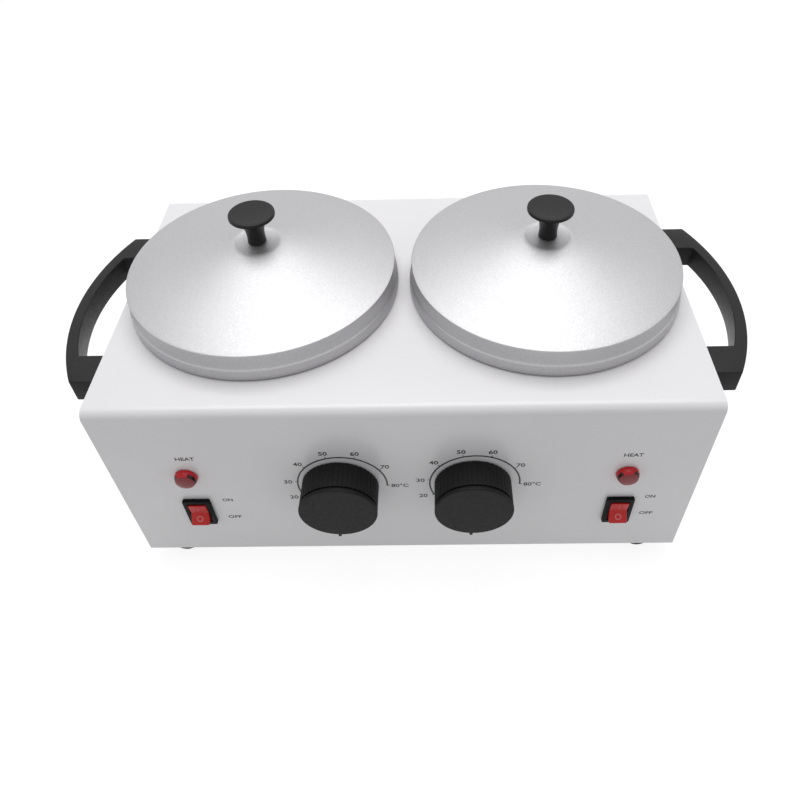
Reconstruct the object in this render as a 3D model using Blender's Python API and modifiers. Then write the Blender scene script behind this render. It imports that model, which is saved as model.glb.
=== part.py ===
"""Double wax warmer: a folded sheet-metal box that holds two heated wells with lift-out
wax pots and lids, each with its own thermostat knob, rocker switch and pilot lamp.
Metres, +Z up. The origin is on the table, under the middle of the box; the controls face -Y."""

import math

import bmesh
import bpy
from mathutils import Matrix, Vector

# Clearances
TOUCH = 0.0003
SLIDE = 0.0006
OVERRUN = 0.002

# Wells and pots, which the box is sized round
WELL_RADIUS = 0.0636
WELL_DEPTH = 0.100
WELL_RIM_WIDTH = 0.0079
WELL_CORNER = 0.006
WELL_SHEET = 0.001
WELL_HOLE_CLEARANCE = 0.0005
POT_RIM_INSET = 0.0015
POT_CORNER = 0.008
POT_SHEET = 0.001
POT_FLOOR_GAP = 0.001

# Lids, with heights above the top of the cover, and the room round them
LID_SHEET = 0.001
LID_RIM_CLEARANCE = 0.0007
LID_CREASE_HEIGHT = 0.0165
LID_RIDGE_PROUD = 0.0015
LID_RIDGE_HEIGHT = 0.0076
LID_WAIST_PROUD = 0.0010
LID_BEAD_PROUD = 0.0020
LID_CROWN_HEIGHT = 0.0315
LID_DISH_RADIUS = 0.012
LID_DISH_FLOOR_RADIUS = 0.0105
LID_DISH_DEPTH = 0.0005
LID_GAP = 0.0052
END_MARGIN = 0.002
FRONT_MARGIN = 0.0196
BACK_MARGIN = 0.0135
ROOM_UNDER_WELL = 0.0239

# Lid knobs and their screws
LID_KNOB_HEIGHT = 0.0175
LID_KNOB_RADIUS = 0.0122
LID_KNOB_RIM = 0.0020
LID_KNOB_EDGE = 0.0006
LID_KNOB_DISH = 0.0006
LID_KNOB_STEM = 0.0048
LID_KNOB_NECK_HEIGHT = 0.0075
LID_SCREW_LENGTH = 0.010

# Folded cover and the sheets that close it
SHEET = 0.001
TOP_BEND_RADIUS = 0.005
BOTTOM_BEND_RADIUS = 0.0014
RETURN_DEPTH = 0.026
PANEL_FLANGE = 0.010
BASE_FLANGE = 0.012
BASE_BEND_RADIUS = 0.0015
VENT_LENGTH = 0.036
VENT_WIDTH = 0.004
VENT_CORNER = 0.0015
VENT_PITCH = 0.012
VENTS_PER_SIDE = 5

# Rubber feet and their screws
FOOT_HEIGHT = 0.0101
FOOT_TOP_RADIUS = 0.0098
FOOT_SHOULDER_HEIGHT = 0.0058
FOOT_BOTTOM_RADIUS = 0.0080
FOOT_EDGE = 0.001
FOOT_INSET_X = 0.0182
FOOT_INSET_Y = 0.0125
FOOT_RECESS_RADIUS = 0.0044
FOOT_RECESS_DEPTH = 0.006

# Screws: shank radius, head radius and head height
BIG_SHANK = 0.002
BIG_HEAD_RADIUS = 0.004
BIG_HEAD_HEIGHT = 0.0024
SMALL_SHANK = 0.0015
SMALL_HEAD_RADIUS = 0.0028
SMALL_HEAD_HEIGHT = 0.0016
HEAD_EDGE = 0.0005
FOOT_SCREW_TAIL = 0.003

# Side handles
HANDLE_DROP = 0.0085
HANDLE_HEIGHT = 0.014
HANDLE_HALF_SPAN = 0.062
HANDLE_FOOT_WIDTH = 0.0195
HANDLE_CORNER_REACH = 0.0174
HANDLE_REACH = 0.0328
HANDLE_INNER_CORNER_REACH = 0.0187
HANDLE_INNER_REACH = 0.0269
HANDLE_EDGE = 0.0006
HANDLE_SCREW_LENGTH = 0.012

# Heater bands
BAND_THICKNESS = 0.0025
BAND_DROP = 0.030
BAND_RISE = 0.020
BAND_HALF_GAP = 0.003
BAND_EAR_THICKNESS = 0.002
BAND_EAR_REACH = 0.012
BAND_EAR_ANGLE = math.radians(45)

# Temperature controls
CONTROL_SHIFT = 0.0006
KNOB_SPACING = 0.0704
KNOB_HEIGHT = 0.0640
KNOB_REACH = 0.018
KNOB_STANDOFF = 0.0006
KNOB_FACE_RADIUS = 0.0205
KNOB_FACE_THICKNESS = 0.002
KNOB_FACE_EDGE = 0.0006
KNOB_GRIP_RADIUS = 0.0204
KNOB_FLUTE_DEPTH = 0.0004
KNOB_FLUTES = 40
KNOB_GROOVE_RADIUS = 0.0194
KNOB_GROOVE_WIDTH = 0.0012
KNOB_RECESS_RADIUS = 0.0175
KNOB_RECESS_DEPTH = 0.0035
POINTER_WIDTH = 0.0016
POINTER_PROUD = 0.0025
POINTER_ANGLE = math.radians(4.5)
POINTER_ROOT = 0.004
SHAFT_RADIUS = 0.003
SHAFT_FLAT = 0.0008
SHAFT_REACH = 0.013
SHAFT_SEAT = 0.006
SHAFT_HOLE_RADIUS = 0.005
THERMOSTAT_WIDTH = 0.036
THERMOSTAT_HEIGHT = 0.030
THERMOSTAT_DEPTH = 0.022
THERMOSTAT_EDGE = 0.002
THERMOSTAT_SCREW_SPACING = 0.028
THERMOSTAT_SCREW_LENGTH = 0.008
TAB_WIDTH = 0.0063
TAB_THICKNESS = 0.0012
TAB_LENGTH = 0.008
TAB_SPACING = 0.014
BULB_RADIUS = 0.003
BULB_LENGTH = 0.060
CAPILLARY_RADIUS = 0.0008

# Pilot lamps and rocker switches
LAMP_INSET = 0.03935
LAMP_HEIGHT = 0.0725
LAMP_SKEW = 0.0009
LAMP_RADIUS = 0.006
LAMP_FLANGE = 0.001
LAMP_DOME = 0.0038
LAMP_BARREL_RADIUS = 0.0048
LAMP_BARREL_LENGTH = 0.013
LAMP_NUT_RADIUS = 0.0078
LAMP_NUT_THICKNESS = 0.0022
SWITCH_INSET = 0.0391
SWITCH_HEIGHT = 0.0400
SWITCH_SKEW = 0.0012
BEZEL_WIDTH = 0.015
BEZEL_HEIGHT = 0.0225
BEZEL_THICKNESS = 0.002
BEZEL_CORNER = 0.0012
SWITCH_BODY_WIDTH = 0.0132
SWITCH_BODY_HEIGHT = 0.0194
SWITCH_BODY_DEPTH = 0.018
SWITCH_CAVITY_WIDTH = 0.0106
SWITCH_CAVITY_HEIGHT = 0.0174
SWITCH_CAVITY_DEPTH = 0.0080
ROCKER_WIDTH = 0.0098
ROCKER_HALF_LENGTH = 0.0070
ROCKER_END_RISE = 0.0052
ROCKER_WAIST_RISE = 0.0024
ROCKER_BACK = 0.0030
ROCKER_BACK_HALF = 0.0042
ROCKER_PIVOT_DEPTH = 0.0025
ROCKER_PIN_RADIUS = 0.0012
ROCKER_PIN_REACH = 0.0005
ROCKER_REST = math.radians(-15)

# Cord inlet and wiring
GLAND_HEIGHT = 0.0249
GLAND_BORE = 0.0036
GLAND_BARREL_RADIUS = 0.006
GLAND_BARREL_LENGTH = 0.010
GLAND_COLLAR_RADIUS = 0.0095
GLAND_COLLAR_THICKNESS = 0.005
GLAND_TIP_RADIUS = 0.0056
GLAND_REACH = 0.018
GLAND_NUT_RADIUS = 0.0105
GLAND_NUT_THICKNESS = 0.004
BLOCK_WIDTH = 0.030
BLOCK_DEPTH = 0.018
BLOCK_HEIGHT = 0.014
BLOCK_INSET = 0.038
BLOCK_PITCH = 0.010
BLOCK_HOLE_RADIUS = 0.0017
BLOCK_EDGE = 0.001
EARTH_SCREW_X = 0.030
EARTH_SCREW_LENGTH = 0.005
LEAD_RADIUS = 0.0011
LEAD_INSERT = 0.003
LEAD_RISE = 0.012

# Facets
LID_STEPS = 32
PAN_STEPS = 24
ROUND_STEPS = 20
SMALL_STEPS = 8
NUT_SIDES = 6
BEND_STEPS = 3
BOW_STEPS = 10
ROUTE_STEPS = 3
SMOOTH_ANGLE = math.radians(35)
MERGE = 0.00001

# Outline shares: (share of the way out, share of the height)
DOME_SHARES = ((0, 1), (0.25, 0.78), (0.55, 0.49), (0.85, 0.18), (0.975, 0.035))
SKIRT_SHARES = ((0, 0), (0.10, 0.45), (0.40, 0.80), (1, 1))
BEAD_SHARES = ((0.60, 0.97), (0.95, 0.80), (1, 0.45), (0.90, 0.12), (0.50, 0))
STEM_SHARES = ((1, 0), (0.55, 0.22), (0.22, 0.55), (0, 1))

# Sizes and places worked out from the values above
WELL_RIM_RADIUS = WELL_RADIUS + WELL_RIM_WIDTH
POT_RIM_RADIUS = WELL_RIM_RADIUS - POT_RIM_INSET
LID_CREASE_RADIUS = WELL_RIM_RADIUS + LID_RIM_CLEARANCE + LID_SHEET
LID_RIDGE_RADIUS = LID_CREASE_RADIUS + LID_RIDGE_PROUD
LID_WAIST_RADIUS = LID_CREASE_RADIUS + LID_WAIST_PROUD
LID_BEAD_RADIUS = LID_CREASE_RADIUS + LID_BEAD_PROUD
LID_KNOB_TOP = LID_CROWN_HEIGHT + LID_KNOB_HEIGHT
LID_DISH_Z = LID_CROWN_HEIGHT - LID_DISH_DEPTH
STATION_X = LID_BEAD_RADIUS + LID_GAP / 2
STATION_Y = (FRONT_MARGIN - BACK_MARGIN) / 2
HOUSING_WIDTH = 2 * (STATION_X + LID_BEAD_RADIUS + END_MARGIN)
HOUSING_DEPTH = FRONT_MARGIN + 2 * LID_BEAD_RADIUS + BACK_MARGIN
HOUSING_HEIGHT = WELL_DEPTH + ROOM_UNDER_WELL
FRONT_Y = -HOUSING_DEPTH / 2
BACK_Y = HOUSING_DEPTH / 2
BLOCK_Y = BACK_Y - BLOCK_INSET
HOUSING_Z = FOOT_HEIGHT + TOUCH
TOP_Z = HOUSING_Z + HOUSING_HEIGHT
BASE_Z = HOUSING_Z + SHEET + TOUCH
BASE_TOP_Z = BASE_Z + SHEET
WELL_RIM_Z = TOP_Z + TOUCH
POT_RADIUS = WELL_RADIUS - WELL_SHEET - SLIDE
POT_RIM_Z = WELL_RIM_Z + WELL_SHEET + TOUCH
POT_DEPTH = WELL_DEPTH - WELL_SHEET - POT_FLOOR_GAP + POT_RIM_Z - WELL_RIM_Z
WELL_BOTTOM_Z = WELL_RIM_Z - WELL_DEPTH
BAND_RADIUS = WELL_RADIUS + TOUCH
BAND_HEIGHT = WELL_DEPTH - BAND_DROP - BAND_RISE
SIDES = {"left": -1, "right": 1}
ENDS = {"front": -1, "back": 1}

# Turns that aim a piece's own +Z
TO_FRONT = (math.pi / 2, 0, 0)
TO_BACK = (-math.pi / 2, 0, 0)
TO_RIGHT = (0, math.pi / 2, 0)
TO_LEFT = (0, -math.pi / 2, 0)
TO_FLOOR = (math.pi, 0, 0)


def clear_file():
    for old in list(bpy.data.objects):
        bpy.data.objects.remove(old)


def collection(name):
    group = bpy.data.collections.new(name)
    bpy.context.scene.collection.children.link(group)
    return group


def material(name, colour, roughness, metallic=0.0):
    finish = bpy.data.materials.new(name)
    finish.use_nodes = True
    shader = finish.node_tree.nodes["Principled BSDF"]
    shader.inputs["Base Color"].default_value = (*colour, 1)
    shader.inputs["Roughness"].default_value = roughness
    shader.inputs["Metallic"].default_value = metallic
    return finish


def add(name, mesh, finish, holder=None, place=(0, 0, 0), turn=(0, 0, 0)):
    piece = bpy.data.objects.new(name, mesh)
    piece.parent = holder
    piece.location = place
    piece.rotation_euler = turn
    if finish:
        mesh.materials.append(finish)
    product.objects.link(piece)
    return piece


def empty(name, place, turn=(0, 0, 0), holder=None):
    return add(name, None, None, holder, place, turn)


def tool(name, mesh, holder=None, place=(0, 0, 0), turn=(0, 0, 0)):
    """A body that only shapes another one."""
    shape = bpy.data.objects.new(name, mesh)
    shape.parent = holder
    shape.location = place
    shape.rotation_euler = turn
    shape.hide_render = True
    shape.display_type = "WIRE"
    cutters.objects.link(shape)
    return shape


def combine(piece, shape, operation="DIFFERENCE"):
    step = piece.modifiers.new(shape.name, "BOOLEAN")
    step.operation = operation
    step.solver = "EXACT"
    step.object = shape


def thicken(piece, sheet):
    shell = piece.modifiers.new("sheet", "SOLIDIFY")
    shell.thickness = sheet
    shell.offset = -1
    shell.use_even_offset = True


def soften(piece, width, segments=2):
    edge = piece.modifiers.new("edge", "BEVEL")
    edge.width = width
    edge.segments = segments
    edge.limit_method = "ANGLE"
    edge.angle_limit = SMOOTH_ANGLE


def finished(bm, name):
    mesh = bpy.data.meshes.new(name)
    bm.to_mesh(mesh)
    bm.free()
    mesh.shade_smooth()
    mesh.set_sharp_from_angle(angle=SMOOTH_ANGLE)
    return mesh


def rod(radius, start, stop, sides=SMALL_STEPS):
    """A cylinder along its own Z, from start to stop."""
    bm = bmesh.new()
    middle = Matrix.Translation((0, 0, (start + stop) / 2))
    bmesh.ops.create_cone(
        bm, cap_ends=True, segments=sides, radius1=radius, radius2=radius, depth=stop - start, matrix=middle
    )
    return finished(bm, "rod")


def d_rod(radius, flat, start, stop):
    """A rod whose +Y side is cut flat, as a potentiometer shaft is."""
    mesh = rod(radius, start, stop, ROUND_STEPS)
    for corner in mesh.vertices:
        corner.co.y = min(corner.co.y, radius - flat)
    return mesh


def block(width, height, start, stop, corner=0):
    """A box centred on its own Z axis, from start to stop, its four upright edges rounded."""
    bm = bmesh.new()
    size = Matrix.Diagonal((width, height, stop - start, 1))
    bmesh.ops.create_cube(bm, size=1, matrix=Matrix.Translation((0, 0, (start + stop) / 2)) @ size)
    if corner:
        uprights = [edge for edge in bm.edges if abs((edge.verts[0].co - edge.verts[1].co).z) > MERGE]
        bmesh.ops.bevel(bm, geom=uprights, offset=corner, segments=2, profile=0.5, affect="EDGES")
    return finished(bm, "block")


def turned(profile, steps, closed=False):
    """The mesh of a (radius, height) profile, for a Screw modifier. It runs down the outside."""
    bm = bmesh.new()
    corners = [bm.verts.new((radius, 0, height)) for radius, height in profile]
    for upper, lower in zip(corners, corners[1:]):
        bm.edges.new((upper, lower))
    if closed:
        bm.edges.new((corners[-1], corners[0]))
    mesh = bpy.data.meshes.new("profile")
    bm.to_mesh(mesh)
    bm.free()
    mesh["steps"] = steps
    return mesh


def spin(piece):
    """Turns a piece's profile about its own Z."""
    turn = piece.modifiers.new("turning", "SCREW")
    turn.steps = piece.data["steps"]
    turn.render_steps = turn.steps
    turn.use_merge_vertices = True
    turn.merge_threshold = MERGE
    turn.use_smooth_shade = True
    return piece


def rounded(corners, radii):
    """A path whose corners are rounded, each with its own radius, zero for a sharp one."""
    points = []
    for place, (corner, radius) in enumerate(zip(corners, radii)):
        here = Vector(corner)
        if not radius:
            points.append(here)
            continue
        to_last = (Vector(corners[place - 1]) - here).normalized()
        to_next = (Vector(corners[(place + 1) % len(corners)]) - here).normalized()
        half_angle = to_last.angle(to_next) / 2
        sweep = math.pi - 2 * half_angle
        centre = here + (to_last + to_next).normalized() * radius / math.sin(half_angle)
        start = here + to_last * radius / math.tan(half_angle) - centre
        stop = here + to_next * radius / math.tan(half_angle) - centre
        for step in range(BEND_STEPS + 1):
            share = step / BEND_STEPS
            spoke = start * math.sin((1 - share) * sweep) + stop * math.sin(share * sweep)
            points.append(centre + spoke / math.sin(sweep))
    return points


def folded(points, sweep, name):
    """A bent sheet: an open path of 3D points, drawn out along a straight line."""
    bm = bmesh.new()
    corners = [bm.verts.new(point) for point in points]
    edges = [bm.edges.new(pair) for pair in zip(corners, corners[1:])]
    drawn = bmesh.ops.extrude_edge_only(bm, edges=edges)["geom"]
    moved = [item for item in drawn if isinstance(item, bmesh.types.BMVert)]
    bmesh.ops.translate(bm, verts=moved, vec=sweep)
    bmesh.ops.recalc_face_normals(bm, faces=bm.faces)
    return finished(bm, name)


def plate(outline, thickness):
    """A flat outline as a filled curve, given its thickness and made a mesh."""
    curve = bpy.data.curves.new("outline", "CURVE")
    curve.dimensions = "2D"
    curve.fill_mode = "BOTH"
    curve.extrude = thickness / 2
    line = curve.splines.new("POLY")
    line.points.add(len(outline) - 1)
    for point, (x, y) in zip(line.points, outline):
        point.co = (x, y, 0, 1)
    line.use_cyclic_u = True
    drawing = bpy.data.objects.new("outline", curve)
    cutters.objects.link(drawing)
    graph = bpy.context.evaluated_depsgraph_get()
    flat = bpy.data.meshes.new_from_object(drawing.evaluated_get(graph))
    bpy.data.objects.remove(drawing)
    bm = bmesh.new()
    bm.from_mesh(flat)
    bmesh.ops.remove_doubles(bm, verts=bm.verts, dist=MERGE)
    bmesh.ops.dissolve_limit(bm, angle_limit=MERGE, verts=bm.verts, edges=bm.edges)
    bmesh.ops.recalc_face_normals(bm, faces=bm.faces)
    return finished(bm, "plate")


def wire(name, points, radii, finish):
    """A round wire along a smooth curve through its points, its ends square and closed."""
    curve = bpy.data.curves.new(name, "CURVE")
    curve.dimensions = "3D"
    curve.bevel_depth = max(radii)
    curve.bevel_resolution = 2
    curve.use_fill_caps = True
    route = []
    sizes = []
    ends = [points[0] * 2 - points[1], *points, points[-1] * 2 - points[-2]]
    for place in range(len(points) - 1):
        p0, p1, p2, p3 = ends[place : place + 4]
        for step in range(ROUTE_STEPS):
            t = step / ROUTE_STEPS
            bend = (p2 - p0) * t + (2 * p0 - 5 * p1 + 4 * p2 - p3) * t**2
            route.append(p1 + (bend + (3 * p1 - p0 - 3 * p2 + p3) * t**3) / 2)
            sizes.append(radii[place] * (1 - t) + radii[place + 1] * t)
    route.append(points[-1])
    sizes.append(radii[-1])
    line = curve.splines.new("POLY")
    line.points.add(len(route) - 1)
    for point, place, size in zip(line.points, route, sizes):
        point.co = (*place, 1)
        point.radius = size / curve.bevel_depth
    curve.materials.append(finish)
    lead = bpy.data.objects.new(name, curve)
    product.objects.link(lead)
    return lead


def screw(name, shank, head_radius, head_height, length, holder=None, place=(0, 0, 0), turn=(0, 0, 0)):
    """A pan-head screw: its head is above its own z = 0 and its shank below."""
    profile = (
        (0, head_height),
        (head_radius - HEAD_EDGE, head_height),
        (head_radius, head_height - HEAD_EDGE),
        (head_radius, 0),
        (shank, 0),
        (shank, -length),
        (0, -length),
    )
    return spin(add(name, turned(profile, SMALL_STEPS), zinc_steel, holder, place, turn))


def small_screw(name, length, holder=None, place=(0, 0, 0), turn=(0, 0, 0)):
    sizes = (SMALL_SHANK, SMALL_HEAD_RADIUS, SMALL_HEAD_HEIGHT)
    return screw(name, *sizes, length, holder, place, turn)


def big_screw(name, length, holder=None, place=(0, 0, 0), turn=(0, 0, 0)):
    return screw(name, BIG_SHANK, BIG_HEAD_RADIUS, BIG_HEAD_HEIGHT, length, holder, place, turn)


def foot_places():
    for side, x_sign in SIDES.items():
        for end, y_sign in ENDS.items():
            x = x_sign * (HOUSING_WIDTH / 2 - FOOT_INSET_X)
            y = y_sign * (HOUSING_DEPTH / 2 - FOOT_INSET_Y)
            yield f"{side}_{end}", x, y


def screw_hole(piece, name, holder=None, place=(0, 0, 0), turn=(0, 0, 0), shank=BIG_SHANK):
    hole = rod(shank + TOUCH, -SHEET - OVERRUN, OVERRUN)
    combine(piece, tool(name, hole, holder, place, turn))


def housing_cover():
    """The front, top and back, folded from one sheet, with a return along each bottom edge."""
    return_y = HOUSING_DEPTH / 2 - RETURN_DEPTH
    corners = [
        (-return_y, HOUSING_Z),
        (FRONT_Y, HOUSING_Z),
        (FRONT_Y, TOP_Z),
        (BACK_Y, TOP_Z),
        (BACK_Y, HOUSING_Z),
        (return_y, HOUSING_Z),
    ]
    path = rounded(corners, (0, BOTTOM_BEND_RADIUS, TOP_BEND_RADIUS, TOP_BEND_RADIUS, BOTTOM_BEND_RADIUS, 0))
    points = [(-HOUSING_WIDTH / 2, y, z) for y, z in path]
    cover = add("housing_cover", folded(points, (HOUSING_WIDTH, 0, 0), "cover"), white_coat)
    thicken(cover, SHEET)
    for side, holders in controls.items():
        well_hole = rod(WELL_RADIUS + WELL_HOLE_CLEARANCE, -SHEET - OVERRUN, OVERRUN, PAN_STEPS)
        combine(cover, tool(f"{side}_well_hole", well_hole, holders["station"]))
        shaft_hole = rod(SHAFT_HOLE_RADIUS, -SHEET - OVERRUN, OVERRUN)
        combine(cover, tool(f"{side}_shaft_hole", shaft_hole, holders["knob"]))
        for name, x in thermostat_screw_places():
            screw_hole(cover, f"{side}_{name}_hole", holders["knob"], (x, 0, 0), shank=SMALL_SHANK)
        lamp_hole = rod(LAMP_BARREL_RADIUS + TOUCH, -SHEET - OVERRUN, OVERRUN, ROUND_STEPS)
        combine(cover, tool(f"{side}_lamp_hole", lamp_hole, holders["lamp"]))
        window = (SWITCH_BODY_WIDTH + 2 * TOUCH, SWITCH_BODY_HEIGHT + 2 * TOUCH)
        switch_hole = block(*window, -SHEET - OVERRUN, OVERRUN)
        combine(cover, tool(f"{side}_switch_hole", switch_hole, holders["switch"]))
    gland_hole = rod(GLAND_BARREL_RADIUS + TOUCH, -SHEET - OVERRUN, OVERRUN, ROUND_STEPS)
    combine(cover, tool("gland_hole", gland_hole, controls["left"]["gland"]))
    for name, x, y in foot_places():
        screw_hole(cover, f"{name}_return_hole", None, (x, y, HOUSING_Z), TO_FLOOR)


def side_panel(side, sign):
    """A shallow tray let into the end of the cover, its flanges along the cover's inside."""
    half_depth = HOUSING_DEPTH / 2 - SHEET - TOUCH
    bottom = HOUSING_Z + BOTTOM_BEND_RADIUS + TOUCH
    top = TOP_Z - SHEET - TOUCH
    bend = TOP_BEND_RADIUS - SHEET - TOUCH
    corners = [(-half_depth, bottom), (-half_depth, top), (half_depth, top), (half_depth, bottom)]
    bm = bmesh.new()
    path = rounded(corners, (0, bend, bend, 0))
    outline = [bm.verts.new((sign * HOUSING_WIDTH / 2, y, z)) for y, z in path]
    bm.faces.new(outline)
    bottom_edge = bm.edges.get((outline[-1], outline[0]))
    edges = [edge for edge in bm.edges if edge != bottom_edge]
    drawn = bmesh.ops.extrude_edge_only(bm, edges=edges)["geom"]
    moved = [item for item in drawn if isinstance(item, bmesh.types.BMVert)]
    bmesh.ops.translate(bm, verts=moved, vec=(-sign * PANEL_FLANGE, 0, 0))
    bmesh.ops.recalc_face_normals(bm, faces=bm.faces)
    panel = add(f"{side}_side_panel", finished(bm, "panel"), white_coat)
    thicken(panel, SHEET)
    for end, place in handle_screw_places(sign, HOUSING_WIDTH / 2):
        screw_hole(panel, f"{side}_{end}_panel_hole", None, place, TO_RIGHT if sign > 0 else TO_LEFT)


def base_plate():
    """The floor of the box: a channel that lies on the cover's returns, with vent slots."""
    half_width = HOUSING_WIDTH / 2 - SHEET - TOUCH
    half_depth = HOUSING_DEPTH / 2 - 2 * SHEET - 2 * TOUCH
    lip = BASE_Z + BASE_FLANGE
    corners = [(-half_width, lip), (-half_width, BASE_Z), (half_width, BASE_Z), (half_width, lip)]
    path = rounded(corners, (0, BASE_BEND_RADIUS, BASE_BEND_RADIUS, 0))
    points = [(x, -half_depth, z) for x, z in path]
    base = add("base_plate", folded(points, (0, 2 * half_depth, 0), "base"), zinc_steel)
    thicken(base, SHEET)
    for name, x, y in foot_places():
        screw_hole(base, f"{name}_base_hole", None, (x, y, BASE_Z), TO_FLOOR)
    screw_hole(base, "earth_hole", None, (EARTH_SCREW_X, BLOCK_Y, BASE_TOP_Z), shank=SMALL_SHANK)
    vent = block(VENT_WIDTH, VENT_LENGTH, -OVERRUN, SHEET + OVERRUN, VENT_CORNER)
    for side, sign in SIDES.items():
        for row in range(VENTS_PER_SIDE):
            x = sign * STATION_X + (row - (VENTS_PER_SIDE - 1) / 2) * VENT_PITCH
            combine(base, tool(f"{side}_vent_{row}", vent, None, (x, STATION_Y, BASE_Z)))


def feet():
    """Tapered rubber feet, each with a screw up through its recess."""
    bore = BIG_SHANK + TOUCH
    profile = (
        (FOOT_TOP_RADIUS, FOOT_HEIGHT),
        (FOOT_TOP_RADIUS, FOOT_SHOULDER_HEIGHT),
        (FOOT_BOTTOM_RADIUS, FOOT_EDGE),
        (FOOT_BOTTOM_RADIUS - FOOT_EDGE, 0),
        (FOOT_RECESS_RADIUS, 0),
        (FOOT_RECESS_RADIUS, FOOT_RECESS_DEPTH),
        (bore, FOOT_RECESS_DEPTH),
        (bore, FOOT_HEIGHT),
    )
    for name, x, y in foot_places():
        spin(add(f"{name}_foot", turned(profile, ROUND_STEPS, closed=True), rubber, None, (x, y, 0)))
        seat = FOOT_RECESS_DEPTH - TOUCH
        length = BASE_TOP_Z + FOOT_SCREW_TAIL - seat
        big_screw(f"{name}_foot_screw", length, None, (x, y, seat), TO_FLOOR)


def bow(corner_reach, reach, half_span):
    """The points of a shallow arc that starts and ends at one reach and swells to another."""
    rise = reach - corner_reach
    radius = (half_span**2 + rise**2) / (2 * rise)
    points = []
    for step in range(BOW_STEPS + 1):
        y = half_span * (2 * step / BOW_STEPS - 1)
        points.append((corner_reach + math.sqrt(radius**2 - y**2) - (radius - rise), y))
    return points


def handle_screw_places(sign, x):
    """Where each handle's two screws pass through a wall at x, front one first."""
    height = TOP_Z - HANDLE_DROP - HANDLE_HEIGHT / 2
    for end, y_sign in ENDS.items():
        yield end, (sign * x, y_sign * (HANDLE_HALF_SPAN - HANDLE_FOOT_WIDTH / 2), height)


def handle(side, sign):
    """A moulded D-shaped grip, screwed to the side panel from inside."""
    inner_half_span = HANDLE_HALF_SPAN - HANDLE_FOOT_WIDTH
    outer = bow(HANDLE_CORNER_REACH, HANDLE_REACH, HANDLE_HALF_SPAN)
    inner = bow(HANDLE_INNER_CORNER_REACH, HANDLE_INNER_REACH, inner_half_span)
    outline = [(0, -HANDLE_HALF_SPAN), *outer, (0, HANDLE_HALF_SPAN), (0, inner_half_span)]
    outline += [*reversed(inner), (0, -inner_half_span)]
    wall = sign * (HOUSING_WIDTH / 2 + TOUCH)
    height = TOP_Z - HANDLE_DROP - HANDLE_HEIGHT / 2
    mesh = plate([(sign * reach, y) for reach, y in outline], HANDLE_HEIGHT)
    grip = add(f"{side}_handle", mesh, black_plastic, None, (wall, 0, height))
    soften(grip, HANDLE_EDGE, 1)
    for end, place in handle_screw_places(sign, HOUSING_WIDTH / 2 + TOUCH):
        hole = rod(BIG_SHANK + TOUCH, -OVERRUN, HANDLE_SCREW_LENGTH + OVERRUN)
        outward = TO_RIGHT if sign > 0 else TO_LEFT
        combine(grip, tool(f"{side}_{end}_handle_hole", hole, None, place, outward))
    for end, place in handle_screw_places(sign, HOUSING_WIDTH / 2 - SHEET - TOUCH):
        inward = TO_LEFT if sign > 0 else TO_RIGHT
        big_screw(f"{side}_{end}_handle_screw", HANDLE_SCREW_LENGTH, None, place, inward)


def pan(name, finish, holder, rim_radius, radius, corner, rim_height, depth, sheet):
    """A deep round vessel with a flat rim, drawn from one sheet. Heights are above the cover."""
    bottom = rim_height - depth
    wall = rounded([(rim_radius, rim_height), (radius, rim_height), (radius, bottom), (0, bottom)],
                   (0, 0, corner, 0))
    vessel = add(name, turned(wall, PAN_STEPS), finish, holder)
    spin(vessel)
    thicken(vessel, sheet)
    return vessel


def heater_band(side, sign, holder):
    """A clamp-on heater: an open ring round the well, drawn tight by a screw through its ears."""
    inner = BAND_RADIUS
    outer = BAND_RADIUS + BAND_THICKNESS
    ear = outer + BAND_EAR_REACH
    ear_side = BAND_HALF_GAP + BAND_EAR_THICKNESS
    start_in = math.asin(BAND_HALF_GAP / inner)
    start_out = math.asin(ear_side / outer)
    facets = [2 * math.pi * step / PAN_STEPS for step in range(1, PAN_STEPS)]
    inside = [start_in, *facets, -start_in]
    outside = [-start_out, *reversed(facets), start_out]
    outline = [(inner * math.cos(angle), inner * math.sin(angle)) for angle in inside]
    outline += [(ear, -BAND_HALF_GAP), (ear, -ear_side)]
    outline += [(outer * math.cos(angle), outer * math.sin(angle)) for angle in outside]
    outline += [(ear, ear_side), (ear, BAND_HALF_GAP)]
    aim = BAND_EAR_ANGLE if sign < 0 else math.pi - BAND_EAR_ANGLE
    place = (0, 0, -BAND_DROP - BAND_HEIGHT / 2)
    band = add(f"{side}_heater_band", plate(outline, BAND_HEIGHT), mica_steel, holder, place, (0, 0, aim))
    screw_reach = (outer + ear) / 2
    hole = rod(SMALL_SHANK + TOUCH, -ear_side - OVERRUN, ear_side + OVERRUN)
    combine(band, tool(f"{side}_clamp_hole", hole, band, (screw_reach, 0, 0), TO_BACK))
    seat = (screw_reach, -ear_side - TOUCH, 0)
    small_screw(f"{side}_band_screw", 2 * ear_side + OVERRUN, band, seat, TO_FRONT)


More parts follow.
